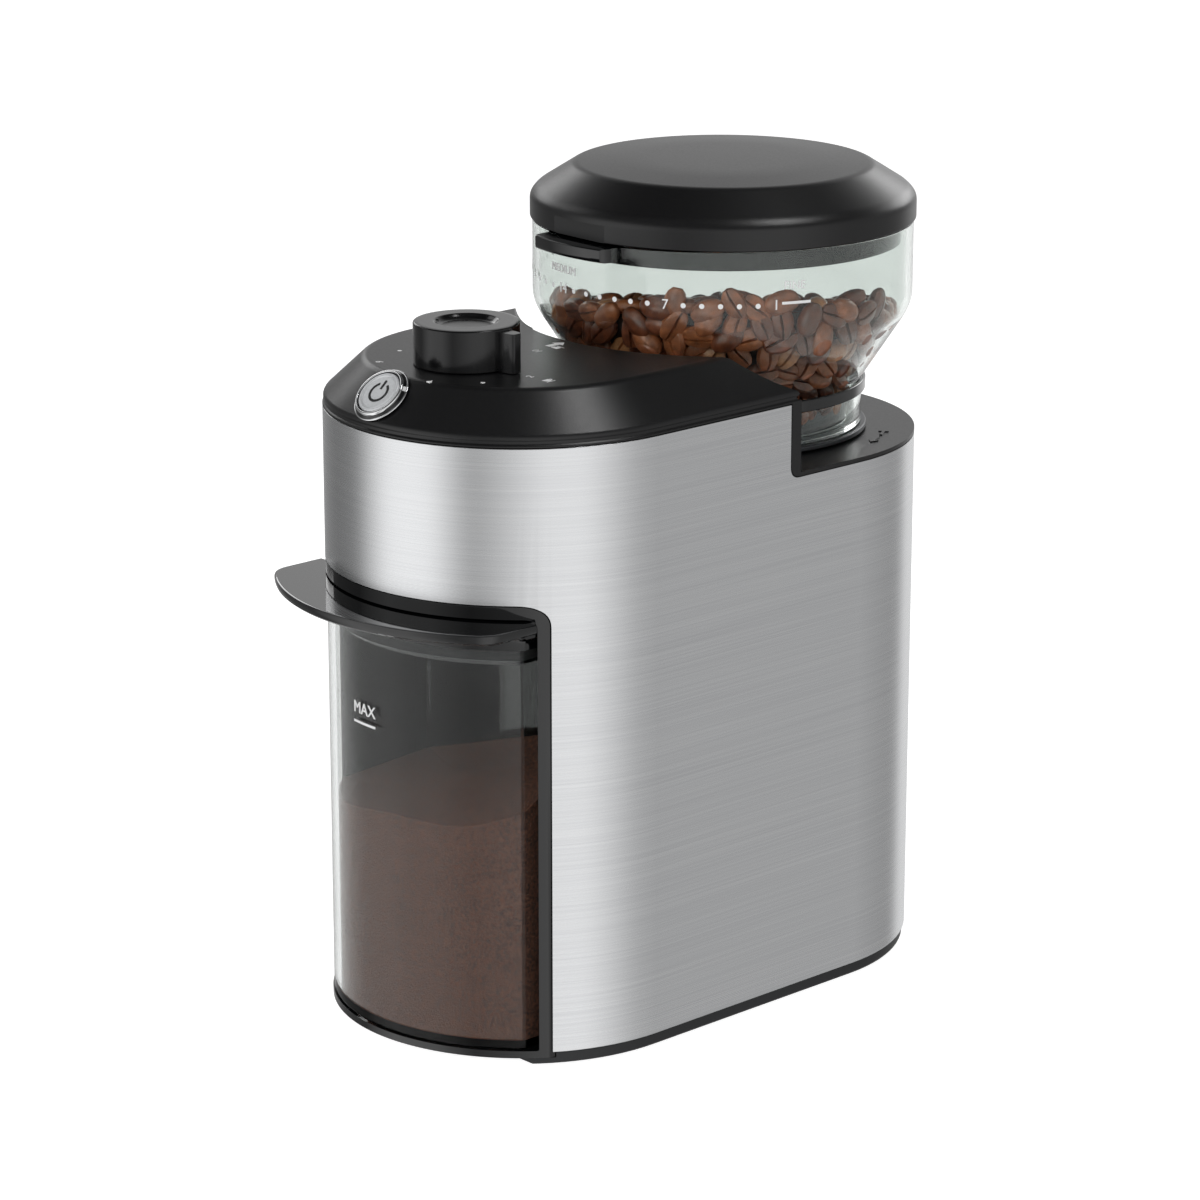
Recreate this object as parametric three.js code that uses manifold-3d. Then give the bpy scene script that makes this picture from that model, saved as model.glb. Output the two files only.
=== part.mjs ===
// Burr coffee grinder: millimetres, +Z up, front towards -Y. The origin is on the
// standing plane, under the middle of the machine's overall length and width.
import * as THREE from "three";
import { mergeVertices } from "three/addons/utils/BufferGeometryUtils.js";
import Module from "manifold-3d";

const wasm = await Module();
wasm.setup();

// ---- driving dimensions ----
const GAP = 0.3;                    // clearance between neighbouring pieces
const BODY_R = 63;                  // half width of the body, and radius of its two round ends
const FRONT_Y = -37.35;             // centre of the front round end
const REAR_Y = 53.65;               // centre of the rear round end
const HOPPER_Y = 52.05;             // burr, gearbox output and hopper axis
const STEEL = 0.9;                  // stainless sheet thickness
const WALL = 2.2;                   // moulded wall thickness

const BASE_Z = 1.2;                 // underside of the base tray, over the feet
const STEEL_BOTTOM = 5.5;
const STEEL_TOP = 202.4;
const REAR_STEEL_TOP = 178.1;
const STEP_Y = 20.9;                // where the steel steps down to the rear deck
const DECK_Z = 218.2;
const REAR_DECK_Z = 179.7;
const SHOULDER_Z = 206.0;           // lower edge of the sloping shoulder
const SHOULDER_IN = 13.3;           // how far the deck's edge stands in from the side
const ARC_R = 68.4;                 // round wall of the cover behind the deck

const MOUTH_HALF = 52.3;            // half width of the opening cut in the steel
const MOUTH_TOP = 152.7;
const FRAME_T = 2.3;                // side wall of the front frame
const BAY_TOP = 148.3;              // ceiling of the container bay
const SHELF_Z = [3.8, 6.2];
const BAY_BACK_Y = FRONT_Y + 1.2;

const CUP_R = 62.5;                 // front wall of the container, about the front centre
const CUP_HALF = 46.6;
const CUP_Z = [6.5, 138.4];
const CUP_WALL = 2.2;
const LIP_R = 79.3;                 // front edge of the container lid's handle plate
const LIP_HALF = 52.3;
const LIP_Z = [144.2, 147.7];
const INLET = { x: 14, y0: -60, y1: -46 };

const KNOB = { y: -60.15, r: 16.8, z0: 218.5, z1: 231.9, stem: 3 };
const BUTTON = { x: -2, y: -93.15, r: 7.45 };

const BOWL = { r: 62.5, neck: 46.2, z0: 182.3, cone0: 197.4, cone1: 222.2, z1: 250.2, wall: 2.2 };
const LID = { r: 63.3, z0: 250.6, z1: 258.4, topR: 48.6, topZ: 268.1, apex: 270, wall: 2.4 };
const TAB = { angle: -3.5, half: 18.5, r0: 58.9, r1: 69, z0: 245.3, z1: 249.8 };

const FEET = [[-34, -62], [34, -62], [-42, 66], [42, 66]];
const LEGS = [[-46, -18], [46, -18], [-34, 86], [34, 86]];
const GLAND_Z = 24;
const GRIND_RING = { r: 41, wall: 2.4, flange: 48 };
const STAGE_1 = { module: 1.1, small: 12, large: 36 };
const STAGE_2 = { module: 1.2, small: 12, large: 32 };
const GEAR_SPAN = STAGE_1.module * (STAGE_1.small + STAGE_1.large) / 2;

const ROUND = 32;                   // facets around a large round piece; half of them per body end

// ---- finishes ----
const FINISH = {
  steel: { color: 0xb9bbbd, roughness: 0.32, metalness: 1 },
  satin: { color: 0x1c1c1e, roughness: 0.45, metalness: 0 },
  gloss: { color: 0x101112, roughness: 0.15, metalness: 0 },
  clear: { color: 0xc9d0cd, roughness: 0.05, metalness: 0 },
  rubber: { color: 0x202122, roughness: 0.9, metalness: 0 },
  nylon: { color: 0xe4e0d2, roughness: 0.6, metalness: 0 },
  zinc: { color: 0x9da0a3, roughness: 0.4, metalness: 1 },
  burr: { color: 0x77797c, roughness: 0.35, metalness: 1 },
  bronze: { color: 0x9a6b35, roughness: 0.45, metalness: 1 },
  board: { color: 0x1f5b33, roughness: 0.6, metalness: 0 },
  magnet: { color: 0x3b3d40, roughness: 0.7, metalness: 0 },
  silver: { color: 0xc6c8ca, roughness: 0.25, metalness: 1 },
};

// ---- shapes ----
function stadium(r, y0 = FRONT_Y, y1 = REAR_Y) {
  const shape = new THREE.Shape();
  shape.absarc(0, y1, r, 0, Math.PI, false);
  shape.absarc(0, y0, r, Math.PI, 2 * Math.PI, false);
  return shape;
}

function circle(r, x = 0, y = 0) {
  return new THREE.Shape().absarc(x, y, r, 0, 2 * Math.PI, false);
}

function roundedRect(x0, y0, x1, y1, r = 0) {
  const shape = new THREE.Shape();
  if (r === 0) {
    shape.moveTo(x0, y0).lineTo(x1, y0).lineTo(x1, y1).lineTo(x0, y1);
    return shape;
  }
  shape.absarc(x1 - r, y1 - r, r, 0, Math.PI / 2, false);
  shape.absarc(x0 + r, y1 - r, r, Math.PI / 2, Math.PI, false);
  shape.absarc(x0 + r, y0 + r, r, Math.PI, 1.5 * Math.PI, false);
  shape.absarc(x1 - r, y0 + r, r, 1.5 * Math.PI, 2 * Math.PI, false);
  return shape;
}

// The container's plan: a round front that follows the body, straight sides and a flat back.
function cupOutline(inset) {
  const r = CUP_R - inset;
  const half = CUP_HALF - inset;
  const turn = Math.asin(half / r);
  const back = BAY_BACK_Y - 1.5 - inset;
  const shape = new THREE.Shape();
  shape.moveTo(half, back).lineTo(-half, back);
  shape.absarc(0, FRONT_Y, r, -Math.PI / 2 - turn, -Math.PI / 2 + turn, false);
  return shape;
}

// ---- solids ----
function solid(geometry) {
  geometry.deleteAttribute("normal");
  geometry.deleteAttribute("uv");
  const merged = mergeVertices(geometry, 1e-4);
  const points = merged.attributes.position.array;
  const index = merged.index.array;
  const faces = [];
  let volume = 0;
  for (let i = 0; i < index.length; i += 3) {
    const [a, b, c] = [index[i], index[i + 1], index[i + 2]];
    if (a === b || b === c || a === c) continue;
    faces.push([a, b, c]);
    const [p, q, s] = [a, b, c].map((k) => new THREE.Vector3().fromArray(points, 3 * k));
    volume += p.dot(q.cross(s));
  }
  const triVerts = new Uint32Array(faces.flatMap(([a, b, c]) => (volume > 0 ? [a, b, c] : [a, c, b])));
  return new wasm.Manifold(new wasm.Mesh({ numProp: 3, vertProperties: Float32Array.from(points), triVerts }));
}

function prism(shape, z0, z1, segments = ROUND / 2) {
  const options = { depth: z1 - z0, bevelEnabled: false, curveSegments: segments };
  return solid(new THREE.ExtrudeGeometry(shape, options).translate(0, 0, z0));
}

function block(x0, x1, y0, y1, z0, z1) {
  const box = new THREE.BoxGeometry(x1 - x0, y1 - y0, z1 - z0);
  return solid(box.translate((x0 + x1) / 2, (y0 + y1) / 2, (z0 + z1) / 2));
}

// A turned piece: [radius, height] pairs that start and end on the axis, or close on themselves.
function turned(profile, segments = ROUND) {
  const points = profile.map(([r, z]) => new THREE.Vector2(r, z));
  if (profile[0][0] > 0) points.push(points[0].clone());
  return solid(new THREE.LatheGeometry(points, segments).rotateX(Math.PI / 2));
}

function rod(r, z0, z1, segments = 12) {
  return turned([[0, z0], [r, z0], [r, z1], [0, z1]], segments);
}

function ring(outer, inner, z0, z1, segments = ROUND) {
  return turned([[inner, z0], [outer, z0], [outer, z1], [inner, z1]], segments);
}

function piece(name, body, finish) {
  const { vertProperties, triVerts } = body.getMesh();
  const geometry = new THREE.BufferGeometry();
  geometry.setAttribute("position", new THREE.BufferAttribute(vertProperties, 3));
  geometry.setIndex(new THREE.BufferAttribute(triVerts, 1));
  const mesh = new THREE.Mesh(geometry, new THREE.MeshStandardMaterial(FINISH[finish]));
  mesh.name = name;
  return mesh;
}

// ---- housing ----
// A stadium block whose top edge slopes in, like the cover's shoulder.
function shoulderBlock(r, z0, shoulder, top, inset) {
  const rise = top - shoulder;
  const bevel = { bevelEnabled: true, bevelSegments: 1, bevelThickness: rise, bevelSize: inset };
  const options = { depth: 12, curveSegments: ROUND / 2, bevelOffset: -inset, ...bevel };
  const sloped = solid(new THREE.ExtrudeGeometry(stadium(r), options).translate(0, 0, top - 12 - rise));
  return prism(stadium(r), z0, shoulder).add(sloped);
}

// The cutter for the steel's step and for the cover's border, drawn in side view.
function stepCutter(y0, z0) {
  const shape = roundedRect(y0, z0, 200, 300, 4);
  const cutter = new THREE.ExtrudeGeometry(shape, { depth: 160, bevelEnabled: false, curveSegments: 5 });
  return solid(cutter.rotateX(Math.PI / 2).rotateZ(Math.PI / 2).translate(-80, 0, 0));
}

function mouthCutter(half, top, radius) {
  const shape = roundedRect(-half, -20, half, top, radius);
  const cutter = new THREE.ExtrudeGeometry(shape, { depth: 80, bevelEnabled: false, curveSegments: 6 });
  return solid(cutter.rotateX(Math.PI / 2).translate(0, FRONT_Y, 0));
}

function steelShell() {
  const shape = stadium(BODY_R);
  shape.holes.push(stadium(BODY_R - STEEL));
  return prism(shape, STEEL_BOTTOM, STEEL_TOP)
    .subtract(stepCutter(STEP_Y, REAR_STEEL_TOP))
    .subtract(mouthCutter(MOUTH_HALF, MOUTH_TOP, 7))
    .subtract(lyingRod(6.5, 30, 0, REAR_Y + BODY_R, GLAND_Z));
}

function topCover() {
  const inner = BODY_R - STEEL - GAP;
  const arcCut = rod(ARC_R, REAR_DECK_Z, 260, 48).translate(0, HOPPER_Y, 0);
  const arcWall = rod(ARC_R + WALL, 150, 260, 48).translate(0, HOPPER_Y, 0);
  const sides = stadium(BODY_R + 5);
  sides.holes.push(stadium(inner));
  const steelRoom = prism(sides, 150, STEEL_TOP + GAP)
    .subtract(stepCutter(STEP_Y + GAP, REAR_STEEL_TOP + GAP));
  const outside = shoulderBlock(BODY_R, 172, SHOULDER_Z, DECK_Z, SHOULDER_IN);
  const hollow = shoulderBlock(inner - WALL, 160, SHOULDER_Z - 1, DECK_Z - WALL, SHOULDER_IN - 2);
  const underFront = prism(stadium(BODY_R + 5), 160, 196)
    .subtract(block(-80, 80, STEP_Y - 5, 200, 150, 220))
    .subtract(arcWall);
  return outside
    .subtract(arcCut)
    .subtract(steelRoom)
    .subtract(hollow.subtract(arcWall))
    .subtract(prism(stadium(inner - WALL), 160, REAR_DECK_Z - WALL))
    .subtract(underFront)
    .subtract(rod(GRIND_RING.r + 0.6, 150, 200, ROUND).translate(0, HOPPER_Y, 0))
    .subtract(rod(KNOB.stem + 0.4, 200, 240).translate(0, KNOB.y, 0))
    .subtract(onShoulder(rod(8.9, -20, 20, 20)));
}

// Puts a piece drawn along +Z on the front shoulder, standing square to its slope.
const SLOPE = Math.atan2(DECK_Z - SHOULDER_Z, SHOULDER_IN);
const BUTTON_Z = SHOULDER_Z + (BODY_R - (FRONT_Y - BUTTON.y)) * Math.tan(SLOPE);
function onShoulder(body) {
  return body.rotate([THREE.MathUtils.radToDeg(SLOPE), 0, 0]).translate(BUTTON.x, BUTTON.y, BUTTON_Z);
}

function frontFrame() {
  const half = MOUTH_HALF - GAP;
  const bayHalf = half - FRAME_T;
  const face = prism(circle(BODY_R - 0.1, 0, FRONT_Y), 0, 200, ROUND);
  const outside = block(-half, half, -120, BAY_BACK_Y + 2.8, SHELF_Z[0], MOUTH_TOP - GAP);
  const corners = mouthCutter(half, MOUTH_TOP - GAP, 6.7);
  const behind = block(-half, half, FRONT_Y - 0.1, BAY_BACK_Y + 2.8, SHELF_Z[0], MOUTH_TOP - GAP);
  const bay = block(-bayHalf, bayHalf, -140, BAY_BACK_Y, SHELF_Z[1], BAY_TOP);
  const drop = block(-INLET.x + 1, INLET.x - 1, INLET.y0 + 1, INLET.y1 - 1, 140, 160);
  return outside.intersect(corners.add(behind)).intersect(face.add(behind)).subtract(bay).subtract(drop);
}

function baseTray() {
  const r = BODY_R - 0.8;
  const upstand = stadium(BODY_R - STEEL - GAP);
  upstand.holes.push(stadium(BODY_R - STEEL - GAP - WALL));
  const bayRoom = block(-MOUTH_HALF, MOUTH_HALF, -140, BAY_BACK_Y + 3.1, SHELF_Z[0] - GAP, 20);
  let tray = prism(stadium(r), BASE_Z, 3.4)
    .add(prism(stadium(r), 3.4, STEEL_BOTTOM - GAP).subtract(prism(stadium(r - 4), 3, 9)))
    .add(prism(upstand, 3.4, 14))
    .add(ring(26.5, 20, 3.4, 16, 20).translate(0, HOPPER_Y, 0))
    .subtract(bayRoom)
    .subtract(block(-80, 80, -140, FRONT_Y - 39, 0, 20));
  for (const [x, y] of FEET) tray = tray.subtract(rod(2.8, 0, 10, 8).translate(x, y, 0));
  for (const [x, y] of LEGS) {
    tray = tray.subtract(rod(1.9, 0, 10, 8).translate(x, y, 0));
    tray = tray.subtract(rod(3.4, 0, 2.6, 8).translate(x, y, 0));
  }
  return tray;
}

function foot() {
  return turned([[0, 0], [7.2, 0], [8, 0.6], [8, 0.9], [2.5, 0.9], [2.5, 3.2], [0, 3.2]], 14);
}

function baseScrew() {
  return turned([[0, 1.4], [3.1, 1.4], [3.1, 2.4], [1.5, 2.4], [1.5, 14], [0, 14]], 8);
}

// The inner chassis: a deck between gearbox and burr chamber, on four legs.
function chassis() {
  const deck = stadium(56, -4, REAR_Y);
  let body = prism(deck, 143.3, 147.3, 10).subtract(block(-80, 80, -90, -26, 100, 200));
  for (const [x, y] of LEGS) {
    body = body.add(prism(roundedRect(x - 4.5, y - 4.5, x + 4.5, y + 4.5, 1.5), 6, 144, 3));
    body = body.subtract(rod(1.8, 0, 20, 8).translate(x, y, 0));
  }
  return body.subtract(rod(8.6, 100, 200, 16).translate(0, HOPPER_Y, 0));
}

// ---- drive ----
function gearShape(teeth, module, phase) {
  const pitch = 2 * Math.PI / teeth;
  const radius = teeth * module / 2;
  const flank = [[-0.26, -1.2], [-0.12, 0.8], [0.12, 0.8], [0.26, -1.2]];
  const points = [];
  for (let tooth = 0; tooth < teeth; tooth++) {
    for (const [along, out] of flank) {
      const angle = phase + (tooth + along) * pitch;
      const r = radius + out * module;
      points.push(new THREE.Vector2(r * Math.cos(angle), r * Math.sin(angle)));
    }
  }
  return new THREE.Shape(points);
}

function motorCan() {
  const profile = [[6, 109], [22.5, 109], [22.5, 30.3], [24, 30.3], [24, 112], [6, 112]];
  const vent = block(-30, 30, -3, 3, 34, 40);
  return turned(profile, 28).subtract(vent);
}

function magnet(turn) {
  const shape = new THREE.Shape();
  shape.absarc(0, 0, 22.1, -1.15, 1.15, false);
  shape.absarc(0, 0, 18, 1.15, -1.15, true);
  return prism(shape, 42, 98, 10).rotate([0, 0, turn]);
}

function armature() {
  let core = turned([[0, 22], [2.5, 22], [2.5, 32], [7, 32], [7, 39], [3.5, 39], [3.5, 44],
    [17, 44], [17, 96], [3.5, 96], [3.5, 100], [2.5, 100], [2.5, 124.6], [0, 124.6]], 24);
  for (let slot = 0; slot < 5; slot++) {
    core = core.subtract(block(13, 20, -1.6, 1.6, 40, 100).rotate([0, 0, 72 * slot]));
  }
  return core;
}

function pinion() {
  return prism(gearShape(STAGE_1.small, STAGE_1.module, -Math.PI / 2), 117, 124.3)
    .subtract(rod(2.8, 100, 130));
}

function compoundGear() {
  const large = gearShape(STAGE_1.large, STAGE_1.module, Math.PI / 2 + Math.PI / STAGE_1.large);
  const small = gearShape(STAGE_2.small, STAGE_2.module, Math.PI / 2);
  return prism(large, 117.5, 123.5).add(rod(5.2, 120, 128)).add(prism(small, 125, 133))
    .subtract(rod(2.3, 100, 140));
}

function outputGear() {
  const shape = gearShape(STAGE_2.large, STAGE_2.module, -Math.PI / 2 + Math.PI / STAGE_2.large);
  return prism(shape, 125.5, 132).add(rod(8, 130, 138, 16)).subtract(rod(4.3, 100, 140, 16));
}

function gearboxCase() {
  const plan = (r) => stadium(r, -GEAR_SPAN, 0);
  const seat = rod(4.6, 113, 117).translate(0, -GEAR_SPAN, 0);
  return prism(plan(28), 112.3, 143, 12)
    .subtract(prism(plan(25.6), 115.3, 150, 12))
    .add(seat)
    .subtract(rod(6, 100, 130))
    .subtract(rod(2.3, 115, 130).translate(0, -GEAR_SPAN, 0));
}

function burrShaft() {
  return turned([[0, 126], [4, 126], [4, 184], [3, 184.2], [3, 188], [0, 188]], 16);
}

// A turned cone with spiral teeth, cut by swelling and shrinking its radius around the axis.
function coneBurr() {
  const profile = [[4.3, 166], [20, 166], [20, 167.5], [17.2, 171], [14.4, 176], [11.6, 181], [10, 184],
    [4.3, 184], [4.3, 166]];
  const geometry = new THREE.LatheGeometry(profile.map(([r, z]) => new THREE.Vector2(r, z)), ROUND);
  const position = geometry.attributes.position;
  for (let i = 0; i < position.count; i++) {
    const [x, h, z] = [position.getX(i), position.getY(i), position.getZ(i)];
    const r = Math.hypot(x, z);
    if (r < 6) continue;
    const angle = Math.atan2(z, x);
    const swell = 1 + 0.055 * (Math.cos(8 * angle + 0.22 * (h - 166)) - 1);
    position.setXYZ(i, x * swell, h, z * swell);
  }
  return solid(geometry.rotateX(Math.PI / 2));
}

function ringBurr() {
  let body = turned([[27, 168], [27, 182], [19, 182], [14.4, 178.6], [20.6, 168]], 24);
  for (let n = 0; n < 8; n++) {
    body = body.subtract(block(12, 19.4, -0.9, 0.9, 174, 190).rotate([0, 0, 45 * n]));
  }
  return body;
}

function impeller() {
  let body = turned([[4.3, 158], [31, 158], [31, 159.6], [8, 159.6], [8, 165.6], [4.3, 165.6]], 24);
  for (let n = 0; n < 6; n++) {
    body = body.add(block(7, 30.5, -1, 1, 159, 163.6).rotate([0, 0, 60 * n]));
  }
  return body;
}

function burrNut() {
  return rod(6.2, 184.3, 188.6, 6).subtract(rod(3.4, 180, 190));
}

function burrCarrier() {
  return turned([[24.5, 165.9], [38.2, 165.9], [38.2, 184], [36, 185.6], [27.4, 184.5], [27.3, 167.7],
    [24.5, 167.7]]);
}

function burrChamber() {
  const outside = turned([[0, 154], [30, 154], [30, 147.6], [33, 147.6], [33, 152], [36, 155], [36, 159.5],
    [43.6, 162.5], [43.6, 177.2], [0, 177.2]]);
  const spout = block(-13, 13, -43.9, -30, 154.5, 166.5);
  const inside = turned([[0, 157], [33, 157], [33, 164.4], [41.4, 164.4], [41.4, 180], [0, 180]]);
  return outside.add(spout).subtract(inside).subtract(rod(8.3, 150, 160, 16))
    .subtract(block(-11, 11, -60, -20, 157.2, 164));
}

// The chute runs level over the container bay and turns down through its ceiling.
function groundsChute() {
  const outside = block(-12.5, 12.5, -111, -44.2, 153, 166.5)
    .add(block(-11.8, 11.8, -110.6, -99.4, 149, 160));
  const inside = block(-10.8, 10.8, -109, -30, 157.2, 164)
    .add(block(-10.3, 10.3, -109, -100.9, 140, 164));
  return outside.subtract(inside);
}

// ---- hopper, lid and grind ring ----
function adjustRing() {
  const { r, wall, flange } = GRIND_RING;
  return turned([[r - wall, 169], [r, 169], [r, 180.3], [flange, 180.3], [flange, 182], [r, 182], [r, 190.5],
    [r - wall, 190.5]]);
}

function hopperBowl() {
  const { r, neck, z0, cone0, cone1, z1, wall } = BOWL;
  const outer = [[neck, z0], [neck, cone0], [r - 1.6, cone1 - 2.2], [r, cone1 + 2], [r, z1]];
  const inner = [[r - wall, z1], [r - wall, cone1 + 2.4], [r - wall - 1.2, cone1 - 1.4],
    [neck - wall, cone0 + 0.6], [neck - wall, z0 + 2], [41.4, z0 + 2], [41.4, z0]];
  const room = sector(TAB.half + 0.8, 52, 80, TAB.z0 - 0.4, 260);
  return turned([...outer, ...inner]).subtract(room);
}

// A straight-sided block that reaches forward from the hopper axis, turned to the tab's place.
function sector(half, r0, r1, z0, z1) {
  return block(-half, half, -r1, -r0, z0, z1).rotate([0, 0, TAB.angle]);
}

function hopperTab() {
  const front = ring(TAB.r1, TAB.r0, TAB.z0, TAB.z1, 64);
  return front.intersect(sector(TAB.half, 40, 90, 200, 300));
}

function hopperLid() {
  const { r, z0, z1, topR, topZ, apex, wall } = LID;
  const skirt = [[r - wall, z0], [r - wall, z1 - 0.6], [58.6, z1 + 1.1], [58.6, 243.6], [56.6, 243.6],
    [56.6, z1 + 1.6], [topR - 1, topZ - wall], [0, apex - wall]];
  const outside = [[0, apex], [topR * 0.6, apex - 0.5], [topR, topZ], [r - 2.4, z1 + 1.7], [r, z1 - 1], [r, z0]];
  const scoop = sector(TAB.half + 1.5, 58.8, 90, 240, 255.6);
  return turned([...skirt.reverse(), [r, z0], ...outside.reverse().slice(1)]).subtract(scoop);
}

// ---- controls ----
function doseKnob() {
  const { r, z0, z1, stem } = KNOB;
  const cap = turned([[0, 206], [stem, 206], [stem, z0], [r, z0], [r, z1 - 0.6], [r - 0.6, z1], [9.5, z1],
    [7.5, z1 - 1.5], [0, z1 - 2]], 28);
  const fin = new THREE.Shape();
  fin.moveTo(-5, 12).lineTo(-2.2, 22.6).lineTo(2.2, 22.6).lineTo(5, 12);
  return cap.add(prism(fin, z0, z1 - 1.4).rotate([0, 0, -87]));
}

function buttonBezel() {
  return onShoulder(turned([[7.75, -5], [8.6, -5], [8.6, 0.3], [9.75, 0.3], [8.3, 2.1], [7.75, 2.1]], 32));
}

function powerButton() {
  const { r } = BUTTON;
  return onShoulder(turned([[0, -5], [r, -5], [r, 2], [r - 0.4, 2.4], [6, 2.4], [5.6, 2.1], [0, 2.1]], 32));
}

// ---- container ----
function container() {
  return prism(cupOutline(0), ...CUP_Z)
    .subtract(prism(cupOutline(CUP_WALL), CUP_Z[0] + 2.4, 200));
}

// The handle plate: a wide round front with eased corners, and straight sides.
function lipOutline(back) {
  const ease = 10;
  const x = LIP_HALF - ease;
  const y = -Math.sqrt((LIP_R - ease) ** 2 - x ** 2);
  const turn = Math.atan2(-y, x);
  const shape = new THREE.Shape();
  shape.moveTo(-LIP_HALF, back);
  shape.absarc(-x, FRONT_Y + y, ease, -Math.PI, turn - Math.PI, false);
  shape.absarc(0, FRONT_Y, LIP_R, turn - Math.PI, -turn, false);
  shape.absarc(x, FRONT_Y + y, ease, -turn, 0, false);
  shape.lineTo(LIP_HALF, back);
  return shape;
}

function containerLid() {
  const back = BAY_BACK_Y - 1.5;
  const plate = prism(lipOutline(back), ...LIP_Z, ROUND / 2);
  const sideRoom = block(49.2, 80, FRONT_Y - 41, 0, 100, 200);
  const collar = prism(cupOutline(-1.8), CUP_Z[1] + GAP, LIP_Z[0] + 0.5);
  const plug = cupOutline(CUP_WALL + 2.4);
  const cavity = prism(cupOutline(CUP_WALL + 4.4), 120, LIP_Z[0]);
  return plate.subtract(sideRoom).subtract(sideRoom.mirror([1, 0, 0]))
    .add(collar.intersect(block(-80, 80, -140, back, 100, 200)))
    .add(prism(plug, 132.5, 140))
    .subtract(cavity)
    .subtract(block(-INLET.x, INLET.x, INLET.y0, INLET.y1, 100, 200));
}

function containerSeal() {
  const shape = cupOutline(CUP_WALL + GAP);
  shape.holes.push(cupOutline(CUP_WALL + 2.1));
  return prism(shape, 134.5, 137.5);
}

// ---- electrics ----
function controlBoard() {
  let board = block(-34, 34, -29.4, -27.8, 38, 112);
  for (const [x, z] of [[-30, 42], [30, 42], [-30, 108], [30, 108]]) {
    board = board.subtract(lyingRod(1.7, 10, x, -28, z));
  }
  return board;
}

function lyingRod(r, length, x, y, z) {
  return solid(new THREE.CylinderGeometry(r, r, length, 16).translate(x, y, z));
}

function cordGland() {
  const rear = REAR_Y + BODY_R;
  return lyingRod(6.2, 5, 0, rear - 3, GLAND_Z).add(lyingRod(9, 3, 0, rear - 6.4, GLAND_Z))
    .subtract(lyingRod(3.6, 30, 0, rear - 5, GLAND_Z));
}

// ---- assembly ----
function at(x, y, z, ...children) {
  const place = new THREE.Group();
  place.position.set(x, y, z);
  place.add(...children);
  return place;
}

function housing() {
  const pieces = [
    piece("steel_shell", steelShell(), "steel"),
    piece("top_cover", topCover(), "satin"),
    piece("front_frame", frontFrame(), "gloss"),
    piece("base_tray", baseTray(), "satin"),
    piece("chassis", chassis(), "satin"),
    piece("cord_gland", cordGland(), "rubber"),
  ];
  FEET.forEach(([x, y], n) => pieces.push(at(x, y, 0, piece(`foot_${n + 1}`, foot(), "rubber"))));
  LEGS.forEach(([x, y], n) =>
    pieces.push(at(x, y, 0, piece(`base_screw_${n + 1}`, baseScrew(), "zinc"))));
  return pieces;
}

function drive() {
  return at(0, HOPPER_Y, 0,
    piece("motor_boot", turned([[14, 16.3], [26.5, 16.3], [26.5, 28], [24.4, 28], [24.4, 24],
      [14, 24]], 32), "rubber"),
    piece("motor_end_cap", ring(23.6, 3, 24.3, 30, 32), "nylon"),
    piece("motor_can", motorCan(), "zinc"),
    piece("magnet_left", magnet(180), "magnet"),
    piece("magnet_right", magnet(0), "magnet"),
    piece("armature", armature(), "zinc"),
    piece("motor_pinion", pinion(), "bronze"),
    piece("gearbox_case", gearboxCase(), "satin"),
    at(0, -GEAR_SPAN, 0,
      piece("compound_gear", compoundGear(), "nylon"),
      piece("layshaft", rod(2, 115.6, 143), "zinc")),
    piece("output_gear", outputGear(), "nylon"),
    piece("output_bush", turned([[4.3, 139], [8.3, 139], [8.3, 147.6], [10.5, 147.6], [10.5, 149.6],
      [8.3, 149.6], [8.3, 151], [4.3, 151]], 16), "bronze"),
    piece("burr_shaft", burrShaft(), "zinc"),
    piece("shaft_seal", ring(8, 4.3, 154.2, 156.8, 16), "rubber"),
    piece("burr_chamber", burrChamber(), "satin"),
    piece("grounds_chute", groundsChute(), "satin"),
    piece("impeller", impeller(), "nylon"),
    piece("cone_burr", coneBurr(), "burr"),
    piece("burr_nut", burrNut(), "zinc"),
    piece("ring_burr", ringBurr(), "burr"),
    piece("burr_carrier", burrCarrier(), "satin"));
}

function hopper() {
  return at(0, HOPPER_Y, 0,
    piece("grind_ring", adjustRing(), "satin"),
    piece("hopper_bowl", hopperBowl(), "clear"),
    piece("neck_ring", ring(47.6, BOWL.neck + GAP, 193.2, 197.2), "gloss"),
    piece("hopper_lid", hopperLid(), "satin"),
    piece("lid_tab", hopperTab(), "gloss"));
}

function controls() {
  const pot = block(-8, 8, -8, 8, 204, 211).subtract(rod(KNOB.stem + 0.3, 200, 220));
  const hopperSwitch = block(45, 51, HOPPER_Y - 8, HOPPER_Y + 8, 160, 172);
  return [
    at(0, KNOB.y, 0, piece("dose_knob", doseKnob(), "satin"), piece("dose_pot", pot, "zinc")),
    piece("button_bezel", buttonBezel(), "silver"),
    piece("power_button", powerButton(), "silver"),
    piece("power_switch", onShoulder(block(-6, 6, -6, 6, -13, -7)), "satin"),
    piece("hopper_switch", hopperSwitch, "satin"),
    piece("control_board", controlBoard(), "board"),
    piece("transformer", block(-22, 2, -27.4, -9, 46, 70), "magnet"),
    piece("capacitor", rod(7, 0, 26).rotate([-90, 0, 0]).translate(18, -27.4, 58), "satin"),
    piece("heat_sink", block(6, 30, -27.4, -12, 82, 104).subtract(block(10, 14, -24, 0, 80, 110))
      .subtract(block(17, 21, -24, 0, 80, 110)).subtract(block(24, 28, -24, 0, 80, 110)), "zinc"),
  ];
}

function bin() {
  return [
    piece("container", container(), "clear"),
    piece("container_lid", containerLid(), "gloss"),
    piece("container_seal", containerSeal(), "rubber"),
  ];
}

const group = new THREE.Group();
group.add(...housing(), drive(), hopper(), ...controls(), ...bin());
export default group;
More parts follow.
